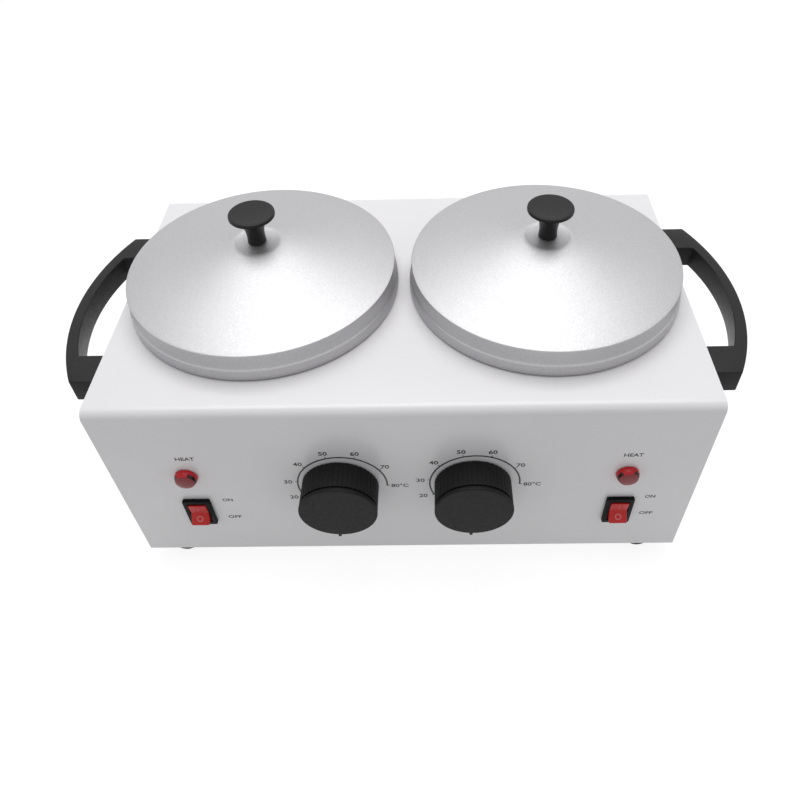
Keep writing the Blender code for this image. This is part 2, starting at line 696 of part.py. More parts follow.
def lid_profile():
    """The lid's outside, from the screw hole in its dished crown down to its rolled bead."""
    profile = [(SMALL_SHANK + TOUCH, LID_DISH_Z), (LID_DISH_FLOOR_RADIUS, LID_DISH_Z)]
    for across, height in DOME_SHARES:
        radius = LID_DISH_RADIUS + (LID_CREASE_RADIUS - LID_DISH_RADIUS) * across
        profile.append((radius, LID_CREASE_HEIGHT + (LID_CROWN_HEIGHT - LID_CREASE_HEIGHT) * height))
    crease = LID_CREASE_HEIGHT - LID_SHEET
    for across, drop in SKIRT_SHARES:
        radius = LID_CREASE_RADIUS + (LID_RIDGE_RADIUS - LID_CREASE_RADIUS) * across
        profile.append((radius, crease - (crease - LID_RIDGE_HEIGHT) * drop))
    bead_top = LID_RIDGE_HEIGHT - LID_SHEET
    for across, height in BEAD_SHARES:
        radius = LID_WAIST_RADIUS + (LID_BEAD_RADIUS - LID_WAIST_RADIUS) * across
        profile.append((radius, TOUCH + (bead_top - TOUCH) * height))
    return profile


def lid(side, holder):
    """The lid, its knob, and the screw that holds the knob from below."""
    cover = add(f"{side}_lid", turned(lid_profile(), LID_STEPS), spun_aluminium, holder)
    spin(cover)
    thicken(cover, LID_SHEET)
    rim_bottom = LID_KNOB_TOP - LID_KNOB_RIM
    neck_bottom = rim_bottom - LID_KNOB_NECK_HEIGHT
    foot = LID_DISH_Z + TOUCH
    bore = SMALL_SHANK + TOUCH
    profile = [
        (0, LID_KNOB_TOP - LID_KNOB_DISH),
        (LID_KNOB_RADIUS - LID_KNOB_RIM, LID_KNOB_TOP),
        (LID_KNOB_RADIUS - LID_KNOB_EDGE, LID_KNOB_TOP),
        (LID_KNOB_RADIUS, LID_KNOB_TOP - LID_KNOB_EDGE),
    ]
    for across, drop in STEM_SHARES:
        radius = LID_KNOB_STEM + (LID_KNOB_RADIUS - LID_KNOB_STEM) * across
        profile.append((radius, rim_bottom + (neck_bottom - rim_bottom) * drop))
    profile += [(LID_KNOB_STEM, foot), (bore, foot)]
    profile += [(bore, foot + LID_SCREW_LENGTH), (0, foot + LID_SCREW_LENGTH)]
    spin(add(f"{side}_lid_knob", turned(profile, ROUND_STEPS), black_plastic, holder))
    seat = (0, 0, LID_DISH_Z - LID_SHEET - TOUCH)
    small_screw(f"{side}_lid_knob_screw", LID_SCREW_LENGTH, holder, seat, TO_FLOOR)


def thermostat_screw_places():
    for number, sign in enumerate(SIDES.values(), 1):
        yield f"thermostat_screw_{number}", sign * THERMOSTAT_SCREW_SPACING / 2


def temperature_knob(side, holder):
    """A fluted knob with a smooth face disc and a small pointer, hollow behind for the screws."""
    face_back = KNOB_REACH - KNOB_FACE_THICKNESS
    groove_back = face_back - KNOB_GROOVE_WIDTH
    grip_mesh = rod(KNOB_GRIP_RADIUS, KNOB_STANDOFF, groove_back, 2 * KNOB_FLUTES)
    for corner in grip_mesh.vertices:
        ridge = round(math.atan2(corner.co.y, corner.co.x) * KNOB_FLUTES / math.pi)
        if ridge % 2:
            corner.co.xy *= (KNOB_GRIP_RADIUS - KNOB_FLUTE_DEPTH) / KNOB_GRIP_RADIUS
    knob = add(f"{side}_temperature_knob", grip_mesh, black_plastic, holder)
    root = groove_back - KNOB_GROOVE_WIDTH
    face = (
        (0, KNOB_REACH),
        (KNOB_FACE_RADIUS - KNOB_FACE_EDGE, KNOB_REACH),
        (KNOB_FACE_RADIUS, KNOB_REACH - KNOB_FACE_EDGE),
        (KNOB_FACE_RADIUS, face_back),
        (KNOB_GROOVE_RADIUS, face_back),
        (KNOB_GROOVE_RADIUS, root),
        (0, root),
    )
    disc = tool(f"{side}_knob_disc", turned(face, PAN_STEPS), holder)
    combine(knob, spin(disc), "UNION")
    pointer_length = POINTER_ROOT + POINTER_PROUD
    pointer_middle = KNOB_FACE_RADIUS + POINTER_PROUD - pointer_length / 2
    pointer_mesh = block(POINTER_WIDTH, pointer_length, KNOB_STANDOFF, KNOB_REACH - KNOB_FACE_EDGE)
    pointer_place = (-pointer_middle * math.sin(POINTER_ANGLE), -pointer_middle * math.cos(POINTER_ANGLE), 0)
    pointer_turn = (0, 0, -POINTER_ANGLE)
    pointer = tool(f"{side}_knob_pointer", pointer_mesh, holder, pointer_place, pointer_turn)
    combine(knob, pointer, "UNION")
    recess = rod(KNOB_RECESS_RADIUS, -OVERRUN, KNOB_STANDOFF + KNOB_RECESS_DEPTH, ROUND_STEPS)
    combine(knob, tool(f"{side}_knob_recess", recess, holder))
    socket = d_rod(SHAFT_RADIUS + TOUCH, SHAFT_FLAT, 0, SHAFT_REACH + TOUCH)
    combine(knob, tool(f"{side}_knob_socket", socket, holder))


def tab(name, holder, place):
    return tool(name, block(TAB_WIDTH, TAB_THICKNESS, -TAB_LENGTH, OVERRUN), holder, place)


def thermostat(side, holder):
    """The capillary thermostat behind the panel, its shaft and the two screws that hold it."""
    front = -SHEET - TOUCH
    back = front - THERMOSTAT_DEPTH
    mesh = block(THERMOSTAT_WIDTH, THERMOSTAT_HEIGHT, back, front, THERMOSTAT_EDGE)
    body = add(f"{side}_thermostat", mesh, brown_plastic, holder)
    for name, height in (("upper", TAB_SPACING / 2), ("lower", -TAB_SPACING / 2)):
        combine(body, tab(f"{side}_{name}_thermostat_tab", holder, (0, height, back)), "UNION")
    seat = front - SHAFT_SEAT
    bushing = rod(SHAFT_RADIUS + TOUCH, seat - TOUCH, OVERRUN, ROUND_STEPS)
    combine(body, tool(f"{side}_bushing", bushing, holder))
    add(f"{side}_thermostat_shaft", d_rod(SHAFT_RADIUS, SHAFT_FLAT, seat, SHAFT_REACH), zinc_steel, holder)
    for name, x in thermostat_screw_places():
        thread = rod(SMALL_SHANK + TOUCH, front - THERMOSTAT_SCREW_LENGTH, OVERRUN)
        combine(body, tool(f"{side}_{name}_thread", thread, holder, (x, 0, 0)))
        small_screw(f"{side}_{name}", THERMOSTAT_SCREW_LENGTH, holder, (x, 0, TOUCH))


def capillary(side, sign):
    """The sensing bulb under the well and the fine tube that joins it to the thermostat."""
    well_x = sign * STATION_X
    knob_x = CONTROL_SHIFT + sign * KNOB_SPACING / 2
    bulb_z = WELL_BOTTOM_Z - TOUCH - BULB_RADIUS
    outlet_y = FRONT_Y + SHEET + TOUCH + THERMOSTAT_DEPTH / 2
    outlet_z = HOUSING_Z + KNOB_HEIGHT - THERMOSTAT_HEIGHT / 2 - TOUCH
    bulb_start = STATION_Y - BULB_LENGTH / 2
    bulb_stop = STATION_Y + BULB_LENGTH / 2
    fall = outlet_z - bulb_z
    points = [
        Vector((knob_x, outlet_y, outlet_z)),
        Vector((knob_x, outlet_y, outlet_z - fall / 2)),
        Vector(((knob_x + well_x) / 2, (outlet_y + bulb_start) / 2, bulb_z)),
        Vector((well_x, bulb_start - 2 * BULB_RADIUS, bulb_z)),
        Vector((well_x, bulb_start, bulb_z)),
        Vector((well_x, STATION_Y, bulb_z)),
        Vector((well_x, bulb_stop, bulb_z)),
    ]
    radii = [CAPILLARY_RADIUS] * 4 + [BULB_RADIUS] * 3
    wire(f"{side}_capillary_bulb", points, radii, copper)


def lamp(side, holder):
    """A panel lamp: a red lens whose barrel passes through the panel, and the ring behind it."""
    flange = TOUCH + LAMP_FLANGE
    profile = (
        (0, flange + LAMP_DOME),
        (LAMP_RADIUS / 2, flange + LAMP_DOME * math.sin(math.pi / 3)),
        (LAMP_RADIUS, flange),
        (LAMP_RADIUS, TOUCH),
        (LAMP_BARREL_RADIUS, TOUCH),
        (LAMP_BARREL_RADIUS, TOUCH - LAMP_BARREL_LENGTH),
        (0, TOUCH - LAMP_BARREL_LENGTH),
    )
    spin(add(f"{side}_lamp_lens", turned(profile, ROUND_STEPS), red_lens, holder))
    front = -SHEET - TOUCH
    bore = LAMP_BARREL_RADIUS + TOUCH
    ring = (
        (LAMP_NUT_RADIUS, front),
        (LAMP_NUT_RADIUS, front - LAMP_NUT_THICKNESS),
        (bore, front - LAMP_NUT_THICKNESS),
        (bore, front),
    )
    spin(add(f"{side}_lamp_ring", turned(ring, ROUND_STEPS, closed=True), zinc_steel, holder))


def switch_height(sign):
    """The right-hand switch sits a little lower than the left one, as its lamp does."""
    return HOUSING_Z + SWITCH_HEIGHT - sign * SWITCH_SKEW


def rocker_switch(side, holder):
    """A snap-in rocker switch: its housing, and the rocker on two pins in the housing's walls."""
    bezel_front = TOUCH + BEZEL_THICKNESS
    bezel = block(BEZEL_WIDTH, BEZEL_HEIGHT, TOUCH, bezel_front, BEZEL_CORNER)
    housing = add(f"{side}_switch_housing", bezel, black_plastic, holder)
    body_back = bezel_front - SWITCH_BODY_DEPTH
    body_mesh = block(SWITCH_BODY_WIDTH, SWITCH_BODY_HEIGHT, body_back, bezel_front - BEZEL_THICKNESS / 2)
    combine(housing, tool(f"{side}_switch_body", body_mesh, holder), "UNION")
    for name, height in (("upper", TAB_SPACING / 2), ("lower", -TAB_SPACING / 2)):
        combine(housing, tab(f"{side}_{name}_switch_tab", holder, (0, height, body_back)), "UNION")
    cavity_floor = bezel_front - SWITCH_CAVITY_DEPTH
    cavity = block(SWITCH_CAVITY_WIDTH, SWITCH_CAVITY_HEIGHT, cavity_floor, bezel_front + OVERRUN)
    combine(housing, tool(f"{side}_switch_cavity", cavity, holder))
    pin_half = SWITCH_CAVITY_WIDTH / 2 + ROCKER_PIN_REACH
    pivot = (0, 0, bezel_front - ROCKER_PIVOT_DEPTH)
    sockets = rod(ROCKER_PIN_RADIUS + TOUCH, -pin_half - TOUCH, pin_half + TOUCH)
    combine(housing, tool(f"{side}_pin_sockets", sockets, holder, pivot, TO_RIGHT))
    tilt = empty(f"{side}_rocker_pivot", pivot, (ROCKER_REST, 0, 0), holder)
    outline = [
        (ROCKER_END_RISE, ROCKER_HALF_LENGTH),
        (ROCKER_WAIST_RISE, 0),
        (ROCKER_END_RISE, -ROCKER_HALF_LENGTH),
        (ROCKER_WAIST_RISE / 2, -ROCKER_HALF_LENGTH),
        (-ROCKER_BACK, -ROCKER_BACK_HALF),
        (-ROCKER_BACK, ROCKER_BACK_HALF),
        (ROCKER_WAIST_RISE / 2, ROCKER_HALF_LENGTH),
    ]
    rocker = add(f"{side}_switch_rocker", plate(outline, ROCKER_WIDTH), red_plastic, tilt, (0, 0, 0), TO_LEFT)
    pins = tool(f"{side}_rocker_pins", rod(ROCKER_PIN_RADIUS, -pin_half, pin_half), rocker)
    combine(rocker, pins, "UNION")


def cord_gland():
    """The strain relief in the back wall, where the mains cord passes, and its nut."""
    holder = controls["left"]["gland"]
    profile = (
        (GLAND_TIP_RADIUS, GLAND_REACH),
        (GLAND_COLLAR_RADIUS, GLAND_COLLAR_THICKNESS),
        (GLAND_COLLAR_RADIUS, TOUCH),
        (GLAND_BARREL_RADIUS, TOUCH),
        (GLAND_BARREL_RADIUS, TOUCH - GLAND_BARREL_LENGTH),
        (GLAND_BORE, TOUCH - GLAND_BARREL_LENGTH),
        (GLAND_BORE, GLAND_REACH),
    )
    spin(add("cord_gland", turned(profile, ROUND_STEPS, closed=True), black_plastic, holder))
    back = -SHEET - TOUCH - GLAND_NUT_THICKNESS
    nut = add("gland_nut", rod(GLAND_NUT_RADIUS, back, -SHEET - TOUCH, NUT_SIDES), black_plastic, holder)
    thread = rod(GLAND_BARREL_RADIUS + TOUCH, back - OVERRUN, OVERRUN, ROUND_STEPS)
    combine(nut, tool("gland_nut_thread", thread, holder))


def block_hole_height():
    return BASE_TOP_Z + TOUCH + BLOCK_HEIGHT / 2


def wiring():
    """The terminal block on the base, the earth screw and the leads to heaters and switches."""
    place = (0, BLOCK_Y, BASE_TOP_Z + TOUCH)
    mesh = block(BLOCK_WIDTH, BLOCK_DEPTH, 0, BLOCK_HEIGHT, BLOCK_EDGE)
    terminal = add("terminal_block", mesh, white_plastic, None, place)
    for number in (-1, 0, 1):
        hole = rod(BLOCK_HOLE_RADIUS, -BLOCK_DEPTH / 2 - OVERRUN, BLOCK_DEPTH / 2 + OVERRUN)
        hole_place = (number * BLOCK_PITCH, BLOCK_Y, block_hole_height())
        combine(terminal, tool(f"terminal_hole_{number + 1}", hole, None, hole_place, TO_BACK))
    earth_place = (EARTH_SCREW_X, BLOCK_Y, BASE_TOP_Z + TOUCH)
    small_screw("earth_screw", EARTH_SCREW_LENGTH, None, earth_place)
    for side, sign in SIDES.items():
        heater_lead(side, sign)
        switch_lead(side, sign)


def heater_lead(side, sign):
    """Out of the back of the block and up to the end of the heater band's ear."""
    start = Vector((sign * BLOCK_PITCH, BLOCK_Y + BLOCK_DEPTH / 2 - LEAD_INSERT, block_hole_height()))
    ear_reach = BAND_RADIUS + BAND_THICKNESS + BAND_EAR_REACH - 2 * LEAD_RADIUS
    ear_side = BAND_HALF_GAP + BAND_EAR_THICKNESS / 2
    along = Vector((-sign * math.cos(BAND_EAR_ANGLE), math.sin(BAND_EAR_ANGLE), 0))
    across = Vector((sign * math.sin(BAND_EAR_ANGLE), math.cos(BAND_EAR_ANGLE), 0))
    ear_z = TOP_Z - BAND_DROP - BAND_HEIGHT - TOUCH
    well = Vector((sign * STATION_X, STATION_Y, ear_z))
    stop = well + along * ear_reach + across * ear_side
    out = Vector((0, LEAD_INSERT + LEAD_RISE / 2, 0))
    up = Vector((0, 0, LEAD_RISE))
    points = [start, start + out, (start + out + stop - up) / 2 + out / 2, stop - up, stop]
    wire(f"{side}_heater_lead", points, [LEAD_RADIUS] * len(points), lead_white)


def switch_lead(side, sign):
    """Out of the front of the block, along the base, and up between well and switch to its tab."""
    start = Vector((sign * BLOCK_PITCH, BLOCK_Y - BLOCK_DEPTH / 2 + LEAD_INSERT, block_hole_height()))
    switch_x = CONTROL_SHIFT + sign * (HOUSING_WIDTH / 2 - SWITCH_INSET)
    tab_y = FRONT_Y - TOUCH - BEZEL_THICKNESS + SWITCH_BODY_DEPTH + TAB_LENGTH
    tab_z = switch_height(sign) - TAB_SPACING / 2
    stop = Vector((switch_x, tab_y + TOUCH, tab_z))
    along_base = BASE_TOP_Z + 2 * LEAD_RADIUS
    wall_y = STATION_Y - math.sqrt(WELL_RADIUS**2 - (switch_x - sign * STATION_X) ** 2)
    points = [
        start,
        start - Vector((0, LEAD_INSERT + LEAD_RISE / 2, 0)),
        Vector((sign * STATION_X / 4, BLOCK_Y / 4, along_base)),
        Vector((sign * STATION_X, FRONT_Y / 2, along_base)),
        Vector((switch_x, wall_y, along_base + LEAD_RISE / 4)),
        Vector((switch_x, (tab_y + wall_y) / 2, (along_base + tab_z) / 2)),
        Vector((switch_x, (3 * tab_y + wall_y) / 4, tab_z - LEAD_RADIUS)),
        stop,
    ]
    wire(f"{side}_switch_lead", points, [LEAD_RADIUS] * len(points), lead_white)


def control_holders(side, sign):
    """The empties that carry each side's pieces: each one's +Z points out of the cover."""
    knob = (CONTROL_SHIFT + sign * KNOB_SPACING / 2, FRONT_Y, HOUSING_Z + KNOB_HEIGHT)
    lamp_x = CONTROL_SHIFT + sign * (HOUSING_WIDTH / 2 - LAMP_INSET)
    lamp_place = (lamp_x, FRONT_Y, HOUSING_Z + LAMP_HEIGHT - sign * LAMP_SKEW)
    switch_x = CONTROL_SHIFT + sign * (HOUSING_WIDTH / 2 - SWITCH_INSET)
    switch = (switch_x, FRONT_Y, switch_height(sign))
    holders = {
        "station": empty(f"{side}_station", (sign * STATION_X, STATION_Y, TOP_Z)),
        "knob": empty(f"{side}_knob_axis", knob, TO_FRONT),
        "lamp": empty(f"{side}_lamp_axis", lamp_place, TO_FRONT),
        "switch": empty(f"{side}_switch_place", switch, TO_FRONT),
    }
    if side == "left":
        holders["gland"] = empty("gland_axis", (0, BACK_Y, HOUSING_Z + GLAND_HEIGHT), TO_BACK)
    return holders


clear_file()
product = collection("double_wax_warmer")
cutters = collection("cutters")

white_coat = material("white_powder_coat", (0.80, 0.79, 0.81), 0.38)
zinc_steel = material("zinc_plated_steel", (0.60, 0.60, 0.58), 0.35, 1.0)
spun_aluminium = material("spun_aluminium", (0.78, 0.78, 0.79), 0.42, 1.0)
mica_steel = material("heater_band_steel", (0.42, 0.40, 0.37), 0.45, 1.0)
copper = material("capillary_copper", (0.72, 0.42, 0.28), 0.35, 1.0)
black_plastic = material("black_plastic", (0.025, 0.025, 0.025), 0.45)
brown_plastic = material("thermostat_bakelite", (0.07, 0.05, 0.04), 0.5)
white_plastic = material("terminal_plastic", (0.75, 0.74, 0.70), 0.5)
lead_white = material("silicone_lead", (0.70, 0.69, 0.66), 0.6)
red_plastic = material("rocker_red", (0.60, 0.01, 0.01), 0.3)
red_lens = material("lamp_red", (0.55, 0.01, 0.01), 0.15)
rubber = material("foot_rubber", (0.02, 0.02, 0.02), 0.8)

controls = {side: control_holders(side, sign) for side, sign in SIDES.items()}
housing_cover()
base_plate()
feet()
for side, sign in SIDES.items():
    side_panel(side, sign)
    handle(side, sign)
    station = controls[side]["station"]
    pan(f"{side}_heating_well", spun_aluminium, station, WELL_RIM_RADIUS, WELL_RADIUS, WELL_CORNER,
        WELL_RIM_Z - TOP_Z, WELL_DEPTH, WELL_SHEET)
    pan(f"{side}_wax_pot", spun_aluminium, station, POT_RIM_RADIUS, POT_RADIUS, POT_CORNER,
        POT_RIM_Z - TOP_Z, POT_DEPTH, POT_SHEET)
    heater_band(side, sign, station)
    lid(side, station)
    temperature_knob(side, controls[side]["knob"])
    thermostat(side, controls[side]["knob"])
    capillary(side, sign)
    lamp(side, controls[side]["lamp"])
    rocker_switch(side, controls[side]["switch"])
cord_gland()
wiring()
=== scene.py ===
import math

import bmesh
import bpy
from mathutils import Euler, Matrix, Vector


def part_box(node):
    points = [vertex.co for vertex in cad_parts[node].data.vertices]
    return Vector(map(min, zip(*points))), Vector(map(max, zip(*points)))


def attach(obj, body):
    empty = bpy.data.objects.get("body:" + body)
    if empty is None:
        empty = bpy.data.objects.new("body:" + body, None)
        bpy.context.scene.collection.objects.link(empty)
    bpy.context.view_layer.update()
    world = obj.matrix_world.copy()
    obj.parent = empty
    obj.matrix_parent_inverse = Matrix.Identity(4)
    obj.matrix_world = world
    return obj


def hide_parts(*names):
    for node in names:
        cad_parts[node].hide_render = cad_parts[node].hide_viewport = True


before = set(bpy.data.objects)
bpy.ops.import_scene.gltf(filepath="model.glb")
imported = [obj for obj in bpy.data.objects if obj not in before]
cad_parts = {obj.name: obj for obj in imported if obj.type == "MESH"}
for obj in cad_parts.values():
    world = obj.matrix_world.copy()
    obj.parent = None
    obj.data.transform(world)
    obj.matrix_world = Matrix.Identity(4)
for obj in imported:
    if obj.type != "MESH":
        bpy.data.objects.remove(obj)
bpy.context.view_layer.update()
bpy.ops.object.select_all(action="DESELECT")

# Camera: a short normal lens in front of the warmer, a little above the lids, looking down at
# about 45 degrees, with the small shift that the picture's framing has.
bpy.ops.object.camera_add(
    location=(0.01742, -0.31601, 0.39763),
    rotation=(math.radians(44.639), math.radians(1.456), math.radians(0.2)),
)
camera = bpy.context.object
camera.data.sensor_width = 36
camera.data.lens = 32.743
camera.data.shift_x = -0.0266
camera.data.shift_y = -0.0539
bpy.context.scene.camera = camera
bpy.context.scene.view_settings.view_transform = "Standard"

# Table and light: a white table, a soft lamp overhead and an even room. The camera, gloss and
# glass see the room and the table as plain white; the table still takes the warmer's shadow.
ROOM_STRENGTH = 0.475
TABLE_ALBEDO = 0.74
TABLE_SEEN_ALBEDO = 0.25
TABLE_LIFT = 0.87


def seen_rays(tree):
    """1 on camera, glossy and transmission rays, 0 on the rays that light the pieces."""
    path = tree.nodes.new("ShaderNodeLightPath")
    first = tree.nodes.new("ShaderNodeMath")
    first.operation = "MAXIMUM"
    tree.links.new(path.outputs["Is Camera Ray"], first.inputs[0])
    tree.links.new(path.outputs["Is Glossy Ray"], first.inputs[1])
    both = tree.nodes.new("ShaderNodeMath")
    both.operation = "MAXIMUM"
    tree.links.new(first.outputs[0], both.inputs[0])
    tree.links.new(path.outputs["Is Transmission Ray"], both.inputs[1])
    return both.outputs[0]


room = bpy.data.worlds.new("white_room")
bpy.context.scene.world = room
room.use_nodes = True
room_light = room.node_tree.nodes["Background"]
room_light.inputs["Color"].default_value = (1, 1, 1, 1)
room_strength = room.node_tree.nodes.new("ShaderNodeMapRange")
room_strength.inputs["To Min"].default_value = ROOM_STRENGTH
room_strength.inputs["To Max"].default_value = 1
room.node_tree.links.new(seen_rays(room.node_tree), room_strength.inputs["Value"])
room.node_tree.links.new(room_strength.outputs["Result"], room_light.inputs["Strength"])

bpy.ops.mesh.primitive_plane_add(size=8)
table = bpy.context.object
table.name = "table"
table_finish = bpy.data.materials.new("white_table")
table_finish.use_nodes = True
table_tree = table_finish.node_tree
table_tree.nodes.remove(table_tree.nodes["Principled BSDF"])
table_diffuse = table_tree.nodes.new("ShaderNodeBsdfDiffuse")
table_seen = seen_rays(table_tree)
table_colour = table_tree.nodes.new("ShaderNodeMapRange")
table_colour.inputs["To Min"].default_value = TABLE_ALBEDO
table_colour.inputs["To Max"].default_value = TABLE_SEEN_ALBEDO
table_tree.links.new(table_seen, table_colour.inputs["Value"])
table_tree.links.new(table_colour.outputs["Result"], table_diffuse.inputs["Color"])
table_glow = table_tree.nodes.new("ShaderNodeEmission")
table_strength = table_tree.nodes.new("ShaderNodeMapRange")
table_strength.inputs["To Max"].default_value = TABLE_LIFT
table_tree.links.new(table_seen, table_strength.inputs["Value"])
table_tree.links.new(table_strength.outputs["Result"], table_glow.inputs["Strength"])
table_sum = table_tree.nodes.new("ShaderNodeAddShader")
table_tree.links.new(table_diffuse.outputs[0], table_sum.inputs[0])
table_tree.links.new(table_glow.outputs[0], table_sum.inputs[1])
table_tree.links.new(table_sum.outputs[0], table_tree.nodes["Material Output"].inputs["Surface"])
table.data.materials.append(table_finish)

bpy.ops.object.light_add(type="AREA", location=(0, 0.25, 1.25), rotation=(math.radians(-8), 0, 0))
overhead = bpy.context.object
overhead.name = "overhead_softbox"
overhead.data.shape = "RECTANGLE"
overhead.data.size = 1.15
overhead.data.size_y = 0.85
overhead.data.energy = 9.0

# Feet: four turned rubber feet, moulded with a tapered side and a recess underneath, each held
# by a pan-head screw that goes up through the cover's return and the base plate.
FOOT_STEPS = 64
FOOT_OUTLINE = (
    (0.0098, 0.0101),
    (0.0098, 0.0068),
    (0.0094, 0.0049),
    (0.0085, 0.0029),
    (0.0076, 0.0012),
    (0.0070, 0.0003),
    (0.0065, 0.0),
    (0.0044, 0.0),
    (0.0044, 0.0060),
    (0.0023, 0.0060),
    (0.0023, 0.0101),
)
FOOT_SCREW_SHANK = 0.002
FOOT_SCREW_RADIUS = 0.004
FOOT_SCREW_HEAD = 0.0024
SCREW_STEPS = 32
THREAD_PITCH = 0.0007
SIDES = ("left", "right")
ENDS = ("front", "back")


def begin():
    """Leaves the last piece, so that the next operator works on its own piece alone."""
    if bpy.context.object and bpy.context.object.mode == "EDIT":
        bpy.ops.object.mode_set(mode="OBJECT")
    bpy.ops.object.select_all(action="DESELECT")


def pick(kind, test):
    """Selects the faces or edges in hand whose middle and direction pass the test."""
    bpy.ops.mesh.select_mode(type=kind)
    bpy.ops.mesh.select_all(action="DESELECT")
    mesh = bpy.context.object.data
    shape = bmesh.from_edit_mesh(mesh)
    if kind == "FACE":
        for face in shape.faces:
            if test(face.calc_center_median(), face.normal):
                face.select_set(True)
    else:
        for edge in shape.edges:
            start, stop = (corner.co for corner in edge.verts)
            if test((start + stop) / 2, (stop - start).normalized()):
                edge.select_set(True)
    bmesh.update_edit_mesh(mesh)


def lathe(outline, steps, closed=False):
    """Pulls a ring of edges along a (radius, height) outline; an end at radius 0 is a pole."""
    begin()
    rings = [ring for ring in outline if ring[0] > 0]
    if closed:
        rings.append(rings[0])
    radius, height = rings[0]
    bpy.ops.mesh.primitive_circle_add(vertices=steps, radius=radius, location=(0, 0, 0))
    piece = bpy.context.object
    bpy.ops.object.mode_set(mode="EDIT")
    bpy.ops.mesh.select_mode(type="EDGE")
    bpy.ops.transform.translate(value=(0, 0, height))
    for next_radius, next_height in rings[1:]:
        rise = {"value": (0, 0, next_height - height)}
        bpy.ops.mesh.extrude_edges_move(TRANSFORM_OT_translate=rise)
        growth = next_radius / radius
        bpy.ops.transform.resize(value=(growth, growth, 1), center_override=(0, 0, next_height))
        radius, height = next_radius, next_height
    if outline[-1][0] == 0:
        pole(outline[-1][1] - height)
    if outline[0][0] == 0:
        first = rings[0][1]
        bpy.ops.mesh.select_all(action="DESELECT")
        bpy.ops.mesh.select_non_manifold(
            use_wire=False, use_multi_face=False, use_non_contiguous=False, use_verts=False
        )
        pole(outline[0][1] - first)
    bpy.ops.mesh.select_all(action="SELECT")
    bpy.ops.mesh.remove_doubles(threshold=0.000001)
    bpy.ops.mesh.normals_make_consistent(inside=False)
    bpy.ops.object.mode_set(mode="OBJECT")
    return piece


def pole(rise):
    """Draws the selected ring together at a point on the axis."""
    bpy.ops.mesh.extrude_edges_move(TRANSFORM_OT_translate={"value": (0, 0, rise)})
    bpy.ops.mesh.merge(type="CENTER")


def shaped(piece, kind, **settings):
    """Adds a modifier to a piece and applies it."""
    bpy.context.view_layer.objects.active = piece
    step = piece.modifiers.new("step", kind)
    for setting, value in settings.items():
        setattr(step, setting, value)
    bpy.ops.object.modifier_apply(modifier=step.name)


def soften(piece, width, segments=2, angle=30):
    """Rounds the sharp edges of a piece."""
    shaped(piece, "BEVEL", width=width, segments=segments, limit_method="ANGLE",
           angle_limit=math.radians(angle), harden_normals=False)


def cut(piece, cutters):
    """Cuts other bodies out of a piece, which then are thrown away."""
    for cutter in cutters:
        bpy.ops.object.select_all(action="DESELECT")
        piece.select_set(True)
        shaped(piece, "BOOLEAN", operation="DIFFERENCE", solver="EXACT", object=cutter)
        bpy.data.objects.remove(cutter)


def settle(piece, name, place=(0, 0, 0), turn=(0, 0, 0), angle=35):
    """Names a piece and puts it in its place, with that place in its mesh."""
    begin()
    bpy.context.view_layer.objects.active = piece
    piece.select_set(True)
    piece.name = name
    piece.data.name = name
    piece.data.transform(Matrix.Translation(place) @ Euler(turn).to_matrix().to_4x4())
    bpy.ops.object.transform_apply(location=True, rotation=True, scale=True)
    bpy.ops.object.shade_smooth_by_angle(angle=math.radians(angle))
    piece.select_set(False)
    return piece


def another(master, name, place=(0, 0, 0), turn=(0, 0, 0)):
    """A copy of a piece modelled at the origin, with its own mesh, in its own place."""
    copy = master.copy()
    copy.data = master.data.copy()
    bpy.context.scene.collection.objects.link(copy)
    return settle(copy, name, place, turn)


def grain_group():
    """Fine irregular grain on the piece's own coordinates, between a low and a high value."""
    group = bpy.data.node_groups.new("grain", "ShaderNodeTree")
    for name, value in (("Scale", 1000), ("Low", 0), ("High", 1)):
        socket = group.interface.new_socket(name=name, in_out="INPUT", socket_type="NodeSocketFloat")
        socket.default_value = value
    group.interface.new_socket(name="Value", in_out="OUTPUT", socket_type="NodeSocketFloat")
    inside = group.nodes.new("NodeGroupInput")
    place = group.nodes.new("ShaderNodeTexCoord")
    noise = group.nodes.new("ShaderNodeTexNoise")
    noise.inputs["Detail"].default_value = 3
    noise.inputs["Roughness"].default_value = 0.6
    spread = group.nodes.new("ShaderNodeMapRange")
    spread.inputs["From Min"].default_value = 0.3
    spread.inputs["From Max"].default_value = 0.7
    outside = group.nodes.new("NodeGroupOutput")
    group.links.new(place.outputs["Object"], noise.inputs["Vector"])
    group.links.new(inside.outputs["Scale"], noise.inputs["Scale"])
    group.links.new(noise.outputs["Fac"], spread.inputs["Value"])
    group.links.new(inside.outputs["Low"], spread.inputs["To Min"])
    group.links.new(inside.outputs["High"], spread.inputs["To Max"])
    group.links.new(spread.outputs["Result"], outside.inputs["Value"])
    return group


def grain(finish, scale, low=0.0, high=1.0):
    """Places the grain group in a material with its own values."""
    node = finish.node_tree.nodes.new("ShaderNodeGroup")
    node.node_tree = grain_tree
    node.inputs["Scale"].default_value = scale
    node.inputs["Low"].default_value = low
    node.inputs["High"].default_value = high
    return node.outputs["Value"]


def blend_colours(finish, mask, dark, light):
    """A colour that goes from dark to light with a mask."""
    mix = finish.node_tree.nodes.new("ShaderNodeMix")
    mix.data_type = "RGBA"
    mix.inputs["A"].default_value = (*dark, 1)
    mix.inputs["B"].default_value = (*light, 1)
    finish.node_tree.links.new(mask, mix.inputs["Factor"])
    return mix.outputs["Result"]


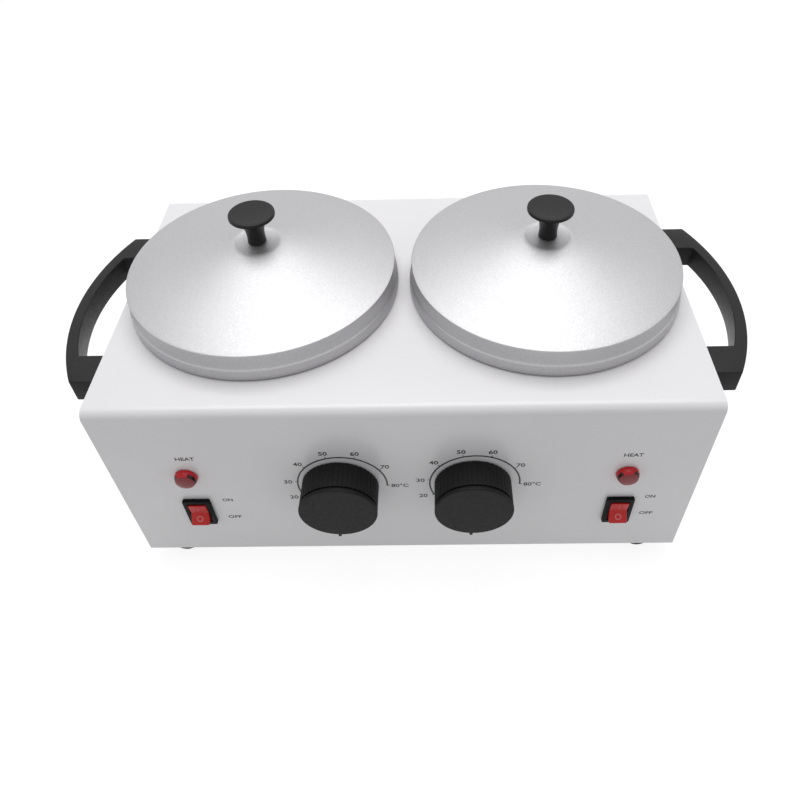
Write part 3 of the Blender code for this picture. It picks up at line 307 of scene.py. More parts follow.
def relief(finish, height, strength, depth):
    """Bump from a height, in metres of depth."""
    bump = finish.node_tree.nodes.new("ShaderNodeBump")
    bump.inputs["Strength"].default_value = strength
    bump.inputs["Distance"].default_value = depth
    finish.node_tree.links.new(height, bump.inputs["Height"])
    shader = finish.node_tree.nodes["Principled BSDF"]
    finish.node_tree.links.new(bump.outputs["Normal"], shader.inputs["Normal"])


def finish_of(name, dark, light, rough, scale, strength=0.2, depth=0.00005, **sockets):
    """A finish whose colour, gloss and relief vary with a fine grain of one scale."""
    finish = bpy.data.materials.new(name)
    finish.use_nodes = True
    shader = finish.node_tree.nodes["Principled BSDF"]
    links = finish.node_tree.links
    links.new(blend_colours(finish, grain(finish, scale), dark, light), shader.inputs["Base Color"])
    links.new(grain(finish, scale * 0.6, *rough), shader.inputs["Roughness"])
    if strength:
        relief(finish, grain(finish, scale), strength, depth)
    for socket, value in sockets.items():
        shader.inputs[socket.replace("_", " ")].default_value = value
    return finish


def dress(node, finish):
    """Gives a CAD node a better finish."""
    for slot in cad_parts[node].material_slots:
        slot.material = finish


def middle(node):
    """The middle of a CAD node's box."""
    low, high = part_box(node)
    return (low + high) / 2


def dressed(piece, finish, body, slot, *replaced):
    """A finished piece's material, the body it rides on, its slot, which is not used, and the nodes it
    stands for.
    """
    piece.data.materials.clear()
    piece.data.materials.append(finish)
    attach(piece, body)
    if replaced:
        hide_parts(*replaced)


def pan_screw(shank, head_radius, head_height, length):
    """A pan-head screw with a cross recess: its head above z = 0 and its shank below."""
    outline = [
        (0, head_height),
        (head_radius * 0.45, head_height * 0.97),
        (head_radius * 0.78, head_height * 0.80),
        (head_radius * 0.96, head_height * 0.45),
        (head_radius, head_height * 0.12),
        (head_radius * 0.98, 0),
        (shank, 0),
    ]
    for turn in range(int(length / THREAD_PITCH)):
        outline.append((shank, -THREAD_PITCH * turn - 0.0003))
        outline.append((shank * 0.86, -THREAD_PITCH * turn - 0.0006))
    outline.append((shank * 0.8, -length))
    outline.append((0, -length))
    screw = lathe(outline, SCREW_STEPS)
    for turn in (0, math.pi / 2):
        begin()
        bpy.ops.mesh.primitive_cube_add(size=1)
        cross = bpy.context.object
        cross.scale = (head_radius * 1.05, head_radius * 0.2, head_height)
        cross.location = (0, 0, head_height)
        cross.rotation_euler = (0, 0, turn)
        cut(screw, [cross])
    return screw


grain_tree = grain_group()
rubber = finish_of("foot_rubber", (0.008, 0.008, 0.008), (0.016, 0.016, 0.016), (0.62, 0.8), 900,
                   Specular_IOR_Level=0.3)
zinc = finish_of("zinc_plate", (0.50, 0.50, 0.48), (0.66, 0.66, 0.63), (0.28, 0.42), 260,
                 strength=0.1, depth=0.00002, Metallic=1)

foot = lathe(FOOT_OUTLINE, FOOT_STEPS, closed=True)
foot_low, foot_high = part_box("left_front_foot_screw")
foot_seat = foot_low.z + FOOT_SCREW_HEAD
foot_screw = pan_screw(FOOT_SCREW_SHANK, FOOT_SCREW_RADIUS, FOOT_SCREW_HEAD, foot_high.z - foot_seat)
for side in SIDES:
    for end in ENDS:
        name = f"{side}_{end}_foot"
        spot = middle(name)
        piece = another(foot, f"{name}_rubber", (spot.x, spot.y, 0))
        dressed(piece, rubber, "housing", "foot_rubber", name)
        piece = another(foot_screw, f"{name}_pan_screw", (spot.x, spot.y, foot_seat), (math.pi, 0, 0))
        dressed(piece, zinc, "housing", "fastener_steel", f"{name}_screw")
bpy.data.objects.remove(foot)
bpy.data.objects.remove(foot_screw)

# Cover: one sheet of 1 mm steel, bent down at the front and back and turned in along the bottom,
# its holes punched flat. It is powder coated white, with the slight orange peel of such a coat.
SHEET = 0.001
TOP_BEND = 0.005
BOTTOM_BEND = 0.0014
RETURN_DEPTH = 0.026
GLAND_HOLE = 0.0063
WELL_HOLE = 0.0641
SHAFT_HOLE = 0.005
LAMP_HOLE = 0.0051
SMALL_SCREW_HOLE = 0.0018
BIG_SCREW_HOLE = 0.0023
WINDOW_HALF_WIDTH = 0.0069
WINDOW_HALF_HEIGHT = 0.0100
PUNCH_REACH = 0.004
cover_low, cover_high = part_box("housing_cover")
FRONT = cover_low.y
TOP = cover_high.z


def block_between(low, high):
    """A cube stretched between two corners, its place and size in its mesh."""
    begin()
    bpy.ops.mesh.primitive_cube_add(size=1, location=(Vector(low) + Vector(high)) / 2)
    piece = bpy.context.object
    piece.scale = Vector(high) - Vector(low)
    bpy.ops.object.transform_apply(location=True, rotation=True, scale=True)
    bpy.ops.object.mode_set(mode="EDIT")
    return piece


def punch(radius, place, steps=48, across=(0, 0, 0)):
    """A round punch that goes through a sheet at a place."""
    begin()
    bpy.ops.mesh.primitive_cylinder_add(
        vertices=steps, radius=radius, depth=2 * PUNCH_REACH, location=place, rotation=across
    )
    bpy.ops.object.transform_apply(location=True, rotation=True, scale=True)
    return bpy.context.object


cover = block_between(cover_low, cover_high)
pick("FACE", lambda spot, facing: abs(facing.x) > 0.5 or facing.z < -0.5)
bpy.ops.mesh.delete(type="ONLY_FACE")
for way in (-1, 1):
    pick("EDGE", lambda spot, along: spot.z < cover_low.z + SHEET and spot.y * way > 0
         and abs(along.x) > 0.5)
    turned_in = {"value": (0, -way * RETURN_DEPTH, 0)}
    bpy.ops.mesh.extrude_edges_move(TRANSFORM_OT_translate=turned_in)
pick("EDGE", lambda spot, along: spot.z > TOP - SHEET and abs(along.x) > 0.5)
bpy.ops.mesh.bevel(offset=TOP_BEND, offset_type="OFFSET", segments=12, profile=0.5)
pick("EDGE", lambda spot, along: spot.z < cover_low.z + SHEET and abs(along.x) > 0.5
     and abs(spot.y) > -FRONT - SHEET)
bpy.ops.mesh.bevel(offset=BOTTOM_BEND, offset_type="OFFSET", segments=6, profile=0.5)
bpy.ops.mesh.select_all(action="SELECT")
bpy.ops.mesh.delete_loose()
bpy.ops.mesh.select_all(action="SELECT")
bpy.ops.mesh.normals_make_consistent(inside=False)
bpy.ops.object.mode_set(mode="OBJECT")
shaped(cover, "SOLIDIFY", thickness=SHEET, offset=-1, use_even_offset=True)
upright = (math.pi / 2, 0, 0)
punches = [punch(GLAND_HOLE, (0, cover_high.y, middle("cord_gland").z), across=upright)]
for side in SIDES:
    lid_spot = middle(f"{side}_lid")
    punches.append(punch(WELL_HOLE, (lid_spot.x, lid_spot.y, TOP), steps=128))
    shaft = middle(f"{side}_thermostat_shaft")
    knob_z = middle(f"{side}_thermostat_screw_1").z
    punches.append(punch(SHAFT_HOLE, (shaft.x, FRONT, knob_z), across=upright))
    for number in (1, 2):
        spot = middle(f"{side}_thermostat_screw_{number}")
        punches.append(punch(SMALL_SCREW_HOLE, (spot.x, FRONT, spot.z), across=upright))
    spot = middle(f"{side}_lamp_lens")
    punches.append(punch(LAMP_HOLE, (spot.x, FRONT, spot.z), across=upright))
    spot = middle(f"{side}_switch_housing")
    window_low = (spot.x - WINDOW_HALF_WIDTH, FRONT - PUNCH_REACH, spot.z - WINDOW_HALF_HEIGHT)
    window_high = (spot.x + WINDOW_HALF_WIDTH, FRONT + PUNCH_REACH, spot.z + WINDOW_HALF_HEIGHT)
    window = block_between(window_low, window_high)
    begin()
    punches.append(window)
    for end in ENDS:
        spot = middle(f"{side}_{end}_foot")
        punches.append(punch(BIG_SCREW_HOLE, (spot.x, spot.y, cover_low.z), steps=24))
cut(cover, punches)

white_coat = finish_of("white_powder_coat", (0.785, 0.775, 0.795), (0.815, 0.805, 0.825), (0.30, 0.38), 12,
                       strength=0, Coat_Weight=0.25, Coat_Roughness=0.18)
relief(white_coat, grain(white_coat, 420), 0.12, 0.00006)
settle(cover, "folded_cover")
dressed(cover, white_coat, "housing", "white_coat", "housing_cover")

# Side panels: a shallow pressed tray closes each end of the cover. Its flanges lie inside the
# cover, and it carries the handle. Same sheet and same coat as the cover.
PANEL_CORNER = 0.0037
PANEL_X = 0.155
for side, way in (("left", -1), ("right", 1)):
    low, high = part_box(f"{side}_side_panel")
    panel = block_between(low, high)
    pick("FACE", lambda spot, facing: facing.x * way < -0.5 or facing.z < -0.5)
    bpy.ops.mesh.delete(type="ONLY_FACE")
    pick("EDGE", lambda spot, along: spot.z > high.z - SHEET and abs(along.x) > 0.5)
    bpy.ops.mesh.bevel(offset=PANEL_CORNER, offset_type="OFFSET", segments=8, profile=0.5)
    bpy.ops.mesh.select_all(action="SELECT")
    bpy.ops.mesh.normals_make_consistent(inside=False)
    bpy.ops.object.mode_set(mode="OBJECT")
    shaped(panel, "SOLIDIFY", thickness=SHEET, offset=-1, use_even_offset=True)
    holes = []
    for end in ENDS:
        spot = middle(f"{side}_{end}_handle_screw")
        place = (way * PANEL_X, spot.y, spot.z)
        holes.append(punch(BIG_SCREW_HOLE, place, steps=24, across=(0, math.pi / 2, 0)))
    cut(panel, holes)
    soften(panel, 0.0003, 3)
    settle(panel, f"{side}_end_panel")
    dressed(panel, white_coat, "housing", "white_coat", f"{side}_side_panel")

# Base plate: a galvanised steel channel with vent slots, which lies on the cover's returns. The
# CAD node has the right shape; the zinc on it shows faint spangles.
spangle = finish_of("galvanised_sheet", (0.46, 0.46, 0.45), (0.64, 0.64, 0.62), (0.30, 0.45), 90,
                    strength=0.05, depth=0.00002, Metallic=1)
cells = spangle.node_tree.nodes.new("ShaderNodeTexVoronoi")
cells.inputs["Scale"].default_value = 130
cells_place = spangle.node_tree.nodes.new("ShaderNodeTexCoord")
spangle.node_tree.links.new(cells_place.outputs["Object"], cells.inputs["Vector"])
spangle_shader = spangle.node_tree.nodes["Principled BSDF"]
spangle.node_tree.links.new(
    blend_colours(spangle, cells.outputs["Color"], (0.44, 0.44, 0.43), (0.66, 0.66, 0.64)),
    spangle_shader.inputs["Base Color"],
)
dress("base_plate", spangle)

# Handles: a D-shaped grip on each end, moulded in black plastic with a fine spark texture, whose
# inner wall came smooth off the tool. Two screws from inside the panel hold it.
HANDLE_HALF_SPAN = 0.062
HANDLE_INNER_HALF_SPAN = 0.0425
HANDLE_REACH = 0.0328
HANDLE_CORNER_REACH = 0.0174
HANDLE_INNER_REACH = 0.0269
HANDLE_INNER_CORNER_REACH = 0.0187


def bowed_slab(half_span, corner_reach, reach, start, depth):
    """A slab whose far side is an arc, cut from a round disc by straight cuts."""
    rise = reach - corner_reach
    radius = (half_span**2 + rise**2) / (2 * rise)
    begin()
    bpy.ops.mesh.primitive_cylinder_add(
        vertices=512, radius=radius, depth=depth, location=(reach - radius, 0, 0)
    )
    slab = bpy.context.object
    bpy.ops.object.transform_apply(location=True, rotation=True, scale=True)
    bpy.ops.object.mode_set(mode="EDIT")
    cuts = (((start, 0, 0), (-1, 0, 0)), ((0, half_span, 0), (0, 1, 0)), ((0, -half_span, 0), (0, -1, 0)))
    for place, outward in cuts:
        bpy.ops.mesh.select_all(action="SELECT")
        bpy.ops.mesh.bisect(plane_co=place, plane_no=outward, use_fill=True, clear_outer=True)
    bpy.ops.object.mode_set(mode="OBJECT")
    return slab


handle_low, handle_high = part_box("right_handle")
grip = bowed_slab(HANDLE_HALF_SPAN, HANDLE_CORNER_REACH, HANDLE_REACH, 0, handle_high.z - handle_low.z)
opening = bowed_slab(HANDLE_INNER_HALF_SPAN, HANDLE_INNER_CORNER_REACH, HANDLE_INNER_REACH, -0.01, 0.03)
cut(grip, [opening])
soften(grip, 0.0007, 3, 25)
textured = finish_of("textured_black_plastic", (0.006, 0.006, 0.006), (0.013, 0.013, 0.013),
                     (0.48, 0.58), 1500, strength=0.14, depth=0.00005, Specular_IOR_Level=0.24)
smooth_black = finish_of("smooth_black_plastic", (0.008, 0.008, 0.008), (0.012, 0.012, 0.012),
                         (0.34, 0.42), 500, strength=0.02, Specular_IOR_Level=0.4)
for side, way in (("left", -1), ("right", 1)):
    wall = handle_low.x
    turn = 0 if way > 0 else math.pi
    piece = another(grip, f"{side}_grip", (way * wall, 0, middle(f"{side}_handle").z), (0, 0, turn))
    dressed(piece, textured, "housing", "handle_plastic", f"{side}_handle")
    piece.data.materials.append(smooth_black)
    for face in piece.data.polygons:
        inner = face.normal.x * way < -0.7 and abs(face.center.x) > wall + 0.012
        if inner and abs(face.center.y) < HANDLE_INNER_HALF_SPAN:
            face.material_index = 1
    for end in ENDS:
        dress(f"{side}_{end}_handle_screw", zinc)
bpy.data.objects.remove(grip)

# Heating wells and wax pots: deep-drawn aluminium. Each well hangs by its rim in the cover, and a
# lift-out pot stands in it; both are left as spun, with fine rings round their own axis.
SPUN_STEPS = 128
WELL_SIZES = (0.0715, 0.0636, 0.006)
POT_SIZES = (0.0700, 0.0620, 0.008)
LIP = 0.0016


def arc(centre_radius, centre_height, radius, start, stop, steps=6):
    """Points of an outline round a corner; angles in degrees, 0 outward and 90 up."""
    points = []
    for step in range(steps + 1):
        angle = math.radians(start + (stop - start) * step / steps)
        points.append((centre_radius + radius * math.cos(angle), centre_height + radius * math.sin(angle)))
    return points


def vessel(rim_radius, radius, corner, rim_height, bottom):
    """A deep pan of 1 mm sheet with a flat rim, both of its skins turned in one go."""
    inner = [(0, bottom + SHEET)]
    inner += arc(radius - corner, bottom + corner, corner - SHEET, -90, 0)
    inner += arc(radius - SHEET + LIP, rim_height + SHEET - LIP, LIP, 180, 90, 4)
    rim = arc(rim_radius - SHEET / 2, rim_height + SHEET / 2, SHEET / 2, 90, -90, 6)
    outer = [(radius, rim_height)]
    outer += arc(radius - corner, bottom + corner, corner, 0, -90)
    return lathe(inner + rim + outer + [(0, bottom)], SPUN_STEPS)


def spun_finish(name, dark, light, rough, spot, pitch, strength):
    """Bare aluminium with fine turned rings round an upright axis, the same on both sides."""
    finish = finish_of(name, dark, light, rough, 1400, strength=0, Metallic=1)
    tree = finish.node_tree
    place = tree.nodes.new("ShaderNodeTexCoord")
    parts = tree.nodes.new("ShaderNodeSeparateXYZ")
    tree.links.new(place.outputs["Object"], parts.inputs["Vector"])
    mirrored = tree.nodes.new("ShaderNodeMath")
    mirrored.operation = "ABSOLUTE"
    tree.links.new(parts.outputs["X"], mirrored.inputs[0])
    flat = tree.nodes.new("ShaderNodeCombineXYZ")
    tree.links.new(mirrored.outputs[0], flat.inputs["X"])
    tree.links.new(parts.outputs["Y"], flat.inputs["Y"])
    away = tree.nodes.new("ShaderNodeVectorMath")
    away.operation = "DISTANCE"
    away.inputs[1].default_value = (spot.x, spot.y, 0)
    tree.links.new(flat.outputs[0], away.inputs[0])
    rings = tree.nodes.new("ShaderNodeTexNoise")
    rings.noise_dimensions = "2D"
    rings.inputs["Detail"].default_value = 2
    rings.inputs["Scale"].default_value = 1 / pitch
    ring_place = tree.nodes.new("ShaderNodeCombineXYZ")
    tree.links.new(away.outputs["Value"], ring_place.inputs["X"])
    tree.links.new(parts.outputs["Z"], ring_place.inputs["Y"])
    tree.links.new(ring_place.outputs[0], rings.inputs["Vector"])
    relief(finish, rings.outputs["Fac"], strength, 0.00004)
    return finish


station = middle("right_lid")
well_low, well_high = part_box("right_heating_well")
pot_low, pot_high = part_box("right_wax_pot")
well = vessel(*WELL_SIZES, well_high.z - SHEET, well_low.z)
pot = vessel(*POT_SIZES, pot_high.z - SHEET, pot_low.z)
spun = spun_finish("spun_aluminium_pot", (0.60, 0.60, 0.61), (0.72, 0.72, 0.73), (0.22, 0.34),
                   station, 0.0007, 0.25)
mica_band = finish_of("heater_band_steel", (0.34, 0.32, 0.29), (0.46, 0.44, 0.40), (0.35, 0.5), 300,
                      Metallic=1)
for side in SIDES:
    spot = middle(f"{side}_lid")
    piece = another(well, f"{side}_spun_well", (spot.x, spot.y, 0))
    dressed(piece, spun, "housing", "well_aluminium", f"{side}_heating_well")
    piece = another(pot, f"{side}_spun_pot", (spot.x, spot.y, 0))
    dressed(piece, spun, f"{side}_pot", "pot_aluminium", f"{side}_wax_pot")
    dress(f"{side}_heater_band", mica_band)
    dress(f"{side}_band_screw", zinc)
bpy.data.objects.remove(well)
bpy.data.objects.remove(pot)

# Lids: spun from 1 mm aluminium and bead-blasted to a silky matt grey, with a flat seat for the
# knob in the crown, a waisted skirt, a thin raised ridge and a plain band just clear of the cover.
LID_STEPS = 160


def eased(points, steps):
    """A smooth curve through outline points."""
    ends = [points[0], *points, points[-1]]
    curve = []
    for place in range(len(points) - 1):
        p0, p1, p2, p3 = (Vector(point) for point in ends[place : place + 4])
        for step in range(steps):
            t = step / steps
            bend = (p2 - p0) * t + (2 * p0 - 5 * p1 + 4 * p2 - p3) * t**2
            curve.append(tuple(p1 + (bend + (3 * p1 - p0 - 3 * p2 + p3) * t**3) / 2))
    curve.append(points[-1])
    return curve


dish = eased([(0.0018, 0.0310), (0.0088, 0.0310), (0.0110, 0.03115), (0.0122, 0.03135)], 3)
dome = eased([(0.0134, 0.03125), (0.0158, 0.03075), (0.0266, 0.0281), (0.0452, 0.0235), (0.0600, 0.0199),
              (0.0705, 0.01700)], 5)
shoulder = arc(0.07270, 0.01590, 0.0005, 72, 0, 6)
skirt = eased([(0.07320, 0.0150), (0.07323, 0.0128), (0.07330, 0.0106), (0.07340, 0.0090),
               (0.07355, 0.0077)], 3)
ridge = [(0.07385, 0.00725), (0.07410, 0.00705), (0.07422, 0.00680), (0.07425, 0.00655)]
band = eased([(0.07427, 0.0063), (0.07440, 0.0051), (0.07455, 0.0038), (0.07462, 0.0025), (0.07455, 0.0014),
              (0.07430, 0.0007), (0.07395, 0.0003)], 3)
lid_outline = dish + dome + shoulder + skirt + ridge + band
lid_shell = lathe(lid_outline, LID_STEPS)
shaped(lid_shell, "SOLIDIFY", thickness=SHEET, offset=-1, use_even_offset=True)
lid_aluminium = finish_of("blasted_aluminium", (0.42, 0.415, 0.425), (0.51, 0.505, 0.52), (0.47, 0.55),
                          1600, strength=0.25, depth=0.00004, Metallic=1)
for side in SIDES:
    spot = middle(f"{side}_lid")
    piece = another(lid_shell, f"{side}_spun_lid", (spot.x, spot.y, TOP))
    dressed(piece, lid_aluminium, f"{side}_lid", "lid_aluminium", f"{side}_lid")
bpy.data.objects.remove(lid_shell)

# Lid knobs: turned mushroom knobs of satin black phenolic with a shallow dish on top and a
# flared neck. A screw from under the lid holds each one down on the crown's seat.
LID_SCREW_SHANK = 0.0015
LID_SCREW_RADIUS = 0.0028
LID_SCREW_HEAD = 0.0016
LID_SCREW_LENGTH = 0.010
knob_outline = [(0, 0.0485), (0.0060, 0.04855), (0.0096, 0.0489), (0.0104, 0.0490), (0.0114, 0.0490)]
knob_outline += arc(0.0115, 0.0483, 0.0007, 90, 0, 5)
knob_outline += arc(0.0117, 0.0474, 0.0005, 0, -60, 4)
knob_outline += eased([(0.0112, 0.0468), (0.0096, 0.0458), (0.0078, 0.0443), (0.0062, 0.0422),
                       (0.0053, 0.0395), (0.0049, 0.0370), (0.0048, 0.0340), (0.0050, 0.0316)], 3)
knob_outline += [(0.0048, 0.0313), (0.0018, 0.0313), (0.0018, 0.0413), (0, 0.0413)]
mushroom = lathe(knob_outline, 96)
lid_screw = pan_screw(LID_SCREW_SHANK, LID_SCREW_RADIUS, LID_SCREW_HEAD, LID_SCREW_LENGTH)
satin_black = finish_of("satin_black_phenolic", (0.004, 0.004, 0.004), (0.008, 0.008, 0.008),
                        (0.34, 0.46), 700, strength=0.10, depth=0.00005, Specular_IOR_Level=0.25)
for side in SIDES:
    spot = middle(f"{side}_lid")
    piece = another(mushroom, f"{side}_mushroom_knob", (spot.x, spot.y, TOP))
    dressed(piece, satin_black, f"{side}_lid", "lid_knob_plastic", f"{side}_lid_knob")
    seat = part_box(f"{side}_lid_knob_screw")[0].z + LID_SCREW_HEAD
    piece = another(lid_screw, f"{side}_lid_pan_screw", (spot.x, spot.y, seat), (math.pi, 0, 0))
    dressed(piece, zinc, f"{side}_lid", "fastener_steel", f"{side}_lid_knob_screw")
bpy.data.objects.remove(mushroom)
bpy.data.objects.remove(lid_screw)

# Thermostats: a dark phenolic body behind the panel on two screws, a steel shaft with a flat, and
# a copper capillary whose bulb lies under the well. The CAD nodes have the right shapes.
phenolic = finish_of("thermostat_phenolic", (0.05, 0.035, 0.028), (0.09, 0.065, 0.05), (0.42, 0.55), 400)
copper = finish_of("capillary_copper", (0.66, 0.36, 0.23), (0.78, 0.48, 0.32), (0.26, 0.40), 350,
                   Metallic=1)
for side in SIDES:
    dress(f"{side}_thermostat", phenolic)
    dress(f"{side}_thermostat_shaft", zinc)
    dress(f"{side}_thermostat_screw_1", zinc)
    dress(f"{side}_thermostat_screw_2", zinc)
    dress(f"{side}_capillary_bulb", copper)

# Temperature knobs: matt black moulded knobs, ribbed round the side, with a dark groove behind a
# smooth face disc and a small pointer rib at six o'clock. Hollow behind, on the flatted shaft.
RIBS = 48
RIB_POINTS = 8
GRIP_RADIUS = 0.0204
RIB_DEPTH = 0.00026
GRIP_START = 0.0006
GRIP_STOP = 0.0148
POINTER_ANGLE = math.radians(3)
POINTER_HALF_WIDTH = 0.0008
POINTER_REACH = 0.0230
RECESS_RADIUS = 0.0175
RECESS_DEPTH = 0.0041
SOCKET_RADIUS = 0.0033
SOCKET_DEPTH = 0.0133


def in_groove(half_width):
    """Tells the upright edges that lie within so many points of the middle of a groove."""
    def test(spot, along):
        turn = math.atan2(spot.y, spot.x) / (2 * math.pi) * RIBS % 1 * RIB_POINTS
        return abs(along.z) > 0.5 and abs(turn - RIB_POINTS / 2) < half_width

    return test


begin()
bpy.ops.mesh.primitive_cylinder_add(
    vertices=RIBS * RIB_POINTS, radius=GRIP_RADIUS, depth=GRIP_STOP - GRIP_START,
    end_fill_type="NGON", location=(0, 0, (GRIP_START + GRIP_STOP) / 2),
)
ribbed = bpy.context.object
bpy.ops.object.transform_apply(location=True, rotation=True, scale=True)
bpy.ops.object.mode_set(mode="EDIT")
sink = 1 - RIB_DEPTH / 2 / GRIP_RADIUS
for half_width in (1.6, 0.6):
    pick("EDGE", in_groove(half_width))
    bpy.ops.transform.resize(value=(sink, sink, 1), center_override=(0, 0, 0))
bpy.ops.object.mode_set(mode="OBJECT")
face_outline = [(0, 0.01792), (0.0120, 0.01796), (0.0185, 0.0180), (0.0197, 0.0180)]
face_outline += arc(0.0199, 0.0174, 0.0006, 80, 0, 5)
face_outline += [(0.0205, 0.0162), (0.0203, 0.0160), (0.0195, 0.0160), (0.0194, 0.0158),
                 (0.0194, 0.0142), (0, 0.0142)]
face_disc = lathe(face_outline, 128)
begin()
ribbed.select_set(True)
shaped(ribbed, "BOOLEAN", operation="UNION", solver="EXACT", object=face_disc)
bpy.data.objects.remove(face_disc)
pointer = block_between((-POINTER_HALF_WIDTH, -POINTER_REACH, GRIP_START),
                        (POINTER_HALF_WIDTH, -0.0165, 0.0174))
pick("EDGE", lambda spot, along: abs(along.x) < 0.5 and spot.y < 0.0002 - POINTER_REACH)
bpy.ops.mesh.bevel(offset=POINTER_HALF_WIDTH / 2, segments=3, profile=0.5)
begin()
pointer.data.transform(Matrix.Rotation(-POINTER_ANGLE, 4, "Z"))
ribbed.select_set(True)
shaped(ribbed, "BOOLEAN", operation="UNION", solver="EXACT", object=pointer)
bpy.data.objects.remove(pointer)
begin()
bpy.ops.mesh.primitive_cylinder_add(vertices=96, radius=RECESS_RADIUS, depth=2 * RECESS_DEPTH)
recess = bpy.context.object
bpy.ops.mesh.primitive_cylinder_add(vertices=48, radius=SOCKET_RADIUS, depth=2 * SOCKET_DEPTH)
socket = bpy.context.object
cut(ribbed, [recess, socket])
control_black = finish_of("control_knob_plastic", (0.004, 0.004, 0.004), (0.008, 0.008, 0.008),
                          (0.48, 0.60), 1100, strength=0.15, depth=0.00005, Specular_IOR_Level=0.18)
for side in SIDES:
    spot = middle(f"{side}_thermostat_shaft")
    knob_z = middle(f"{side}_thermostat_screw_1").z
    piece = another(ribbed, f"{side}_ribbed_knob", (spot.x, FRONT, knob_z), upright)
    dressed(piece, control_black, f"{side}_knob", "control_knob_plastic", f"{side}_temperature_knob")
bpy.data.objects.remove(ribbed)

# Printing: the temperature scale round each knob, and the plain words beside lamp and switch,
# screen printed in black ink on the coat. Each stands 0.05 mm proud, as a thick print does.
INK = 0.00005
ARC_RADIUS = 0.0234
ARC_WIDTH = 0.0009
ARC_SHIFT = (0.00105, 0.0001, 0)
TICK_REACH = 0.0253
NUMERAL_HEIGHT = 0.0031
WORD_HEIGHT = 0.0027
NUMERAL_WIDENING = 1.12
BOLDER = 0.018
TICKS = ((20, 205), (30, 172), (40, 140), (50, 105.6), (60, 70.6), (70, 32), (80, -2.5))
NUMERALS = (
    ("20", -26.5, -11.0),
    ("30", -27.7, 3.2),
    ("40", -20.6, 18.6),
    ("50", -6.5, 27.3),
    ("60", 9.7, 26.8),
    ("70", 24.45, 15.5),
    ("80°C", 31.6, -1.2),
)
WORDS = (
    ("HEAT", 1.09, {"left": (-112.4, 98.6), "right": (117.0, 97.4)}),
    ("ON", 1.0, {"left": (-98.2, 61.3), "right": (132.4, 60.1)}),
    ("OFF", 1.17, {"left": (-97.5, 44.6), "right": (133.1, 44.0)}),
)


def word(text, height, x, z, widening=1.0):
    """A word as a thin solid on the front, its middle x and z in millimetres from an axis."""
    begin()
    bpy.ops.object.text_add()
    letters = bpy.context.object
    letters.data.body = text
    letters.data.extrude = INK / 2
    letters.data.offset = BOLDER
    letters.data.resolution_u = 3
    bpy.ops.object.convert(target="MESH")
    letters = bpy.context.object
    corners = [corner.co for corner in letters.data.vertices]
    low = Vector([min(c[axis] for c in corners) for axis in range(3)])
    high = Vector([max(c[axis] for c in corners) for axis in range(3)])
    size = height / (high.y - low.y)
    centre = (low + high) / 2
    letters.data.transform(Matrix.Translation((-centre.x, -centre.y, 0)))
    letters.data.transform(Matrix.Diagonal((size * widening, size, 1, 1)))
    letters.data.transform(Matrix.Translation((x / 1000, z / 1000, INK / 2)))
    return letters


def joined(pieces):
    """Makes one piece of several."""
    begin()
    for piece in pieces:
        piece.select_set(True)
    bpy.context.view_layer.objects.active = pieces[0]
    bpy.ops.object.join()
    return pieces[0]


def scale_line():
    """The arc line with a tick at each ten degrees, as one thin strip."""
    begin()
    bpy.ops.mesh.primitive_circle_add(vertices=720, radius=ARC_RADIUS)
    line = bpy.context.object
    bpy.ops.object.mode_set(mode="EDIT")
    start, stop = math.radians(TICKS[-1][1]), math.radians(TICKS[0][1])

    def outside(spot, along):
        angle = math.atan2(spot.y, spot.x)
        if angle < math.radians(-90):
            angle += 2 * math.pi
        return not start - 0.005 < angle < stop + 0.005

    pick("EDGE", outside)
    bpy.ops.mesh.delete(type="EDGE")
    bpy.ops.mesh.select_all(action="SELECT")
    bpy.ops.mesh.delete_loose(use_verts=True, use_edges=False, use_faces=False)
    bpy.ops.mesh.select_all(action="SELECT")
    bpy.ops.mesh.extrude_edges_move(TRANSFORM_OT_translate={"value": (0, 0, 0)})
    growth = (ARC_RADIUS + ARC_WIDTH) / ARC_RADIUS
    bpy.ops.transform.resize(value=(growth, growth, 1), center_override=(0, 0, 0))

    def at_tick(spot, along):
        if spot.length < ARC_RADIUS + ARC_WIDTH * 0.75:
            return False
        angle = math.degrees(math.atan2(spot.y, spot.x))
        return any(abs((angle - tick + 180) % 360 - 180) < 0.52 for value, tick in TICKS)

    pick("EDGE", at_tick)
    bpy.ops.mesh.extrude_edges_move(TRANSFORM_OT_translate={"value": (0, 0, 0)})
    growth = TICK_REACH / (ARC_RADIUS + ARC_WIDTH)
    bpy.ops.transform.resize(value=(growth, growth, 1), center_override=(0, 0, 0))
    bpy.ops.mesh.select_all(action="SELECT")
    bpy.ops.mesh.normals_make_consistent(inside=False)
    bpy.ops.object.mode_set(mode="OBJECT")
    shaped(line, "SOLIDIFY", thickness=INK, offset=0)
    line.data.transform(Matrix.Translation(ARC_SHIFT) @ Matrix.Translation((0, 0, INK / 2)))
    return line


ink = finish_of("black_screen_ink", (0.008, 0.008, 0.010), (0.022, 0.022, 0.024), (0.35, 0.5), 1500,
                strength=0.05)
numerals = [word(text, NUMERAL_HEIGHT, x, z, NUMERAL_WIDENING) for text, x, z in NUMERALS]
scale_master = joined([scale_line()] + numerals)
for side in SIDES:
    spot = middle(f"{side}_thermostat_shaft")
    knob_z = middle(f"{side}_thermostat_screw_1").z
    piece = another(scale_master, f"{side}_scale_print", (spot.x, FRONT, knob_z), upright)
    dressed(piece, ink, "housing", "white_coat")
    words = joined([word(text, WORD_HEIGHT, *places[side], widening) for text, widening, places in WORDS])
    settle(words, f"{side}_word_print", (0, FRONT, 0), upright)
    dressed(words, ink, "housing", "white_coat")
bpy.data.objects.remove(scale_master)
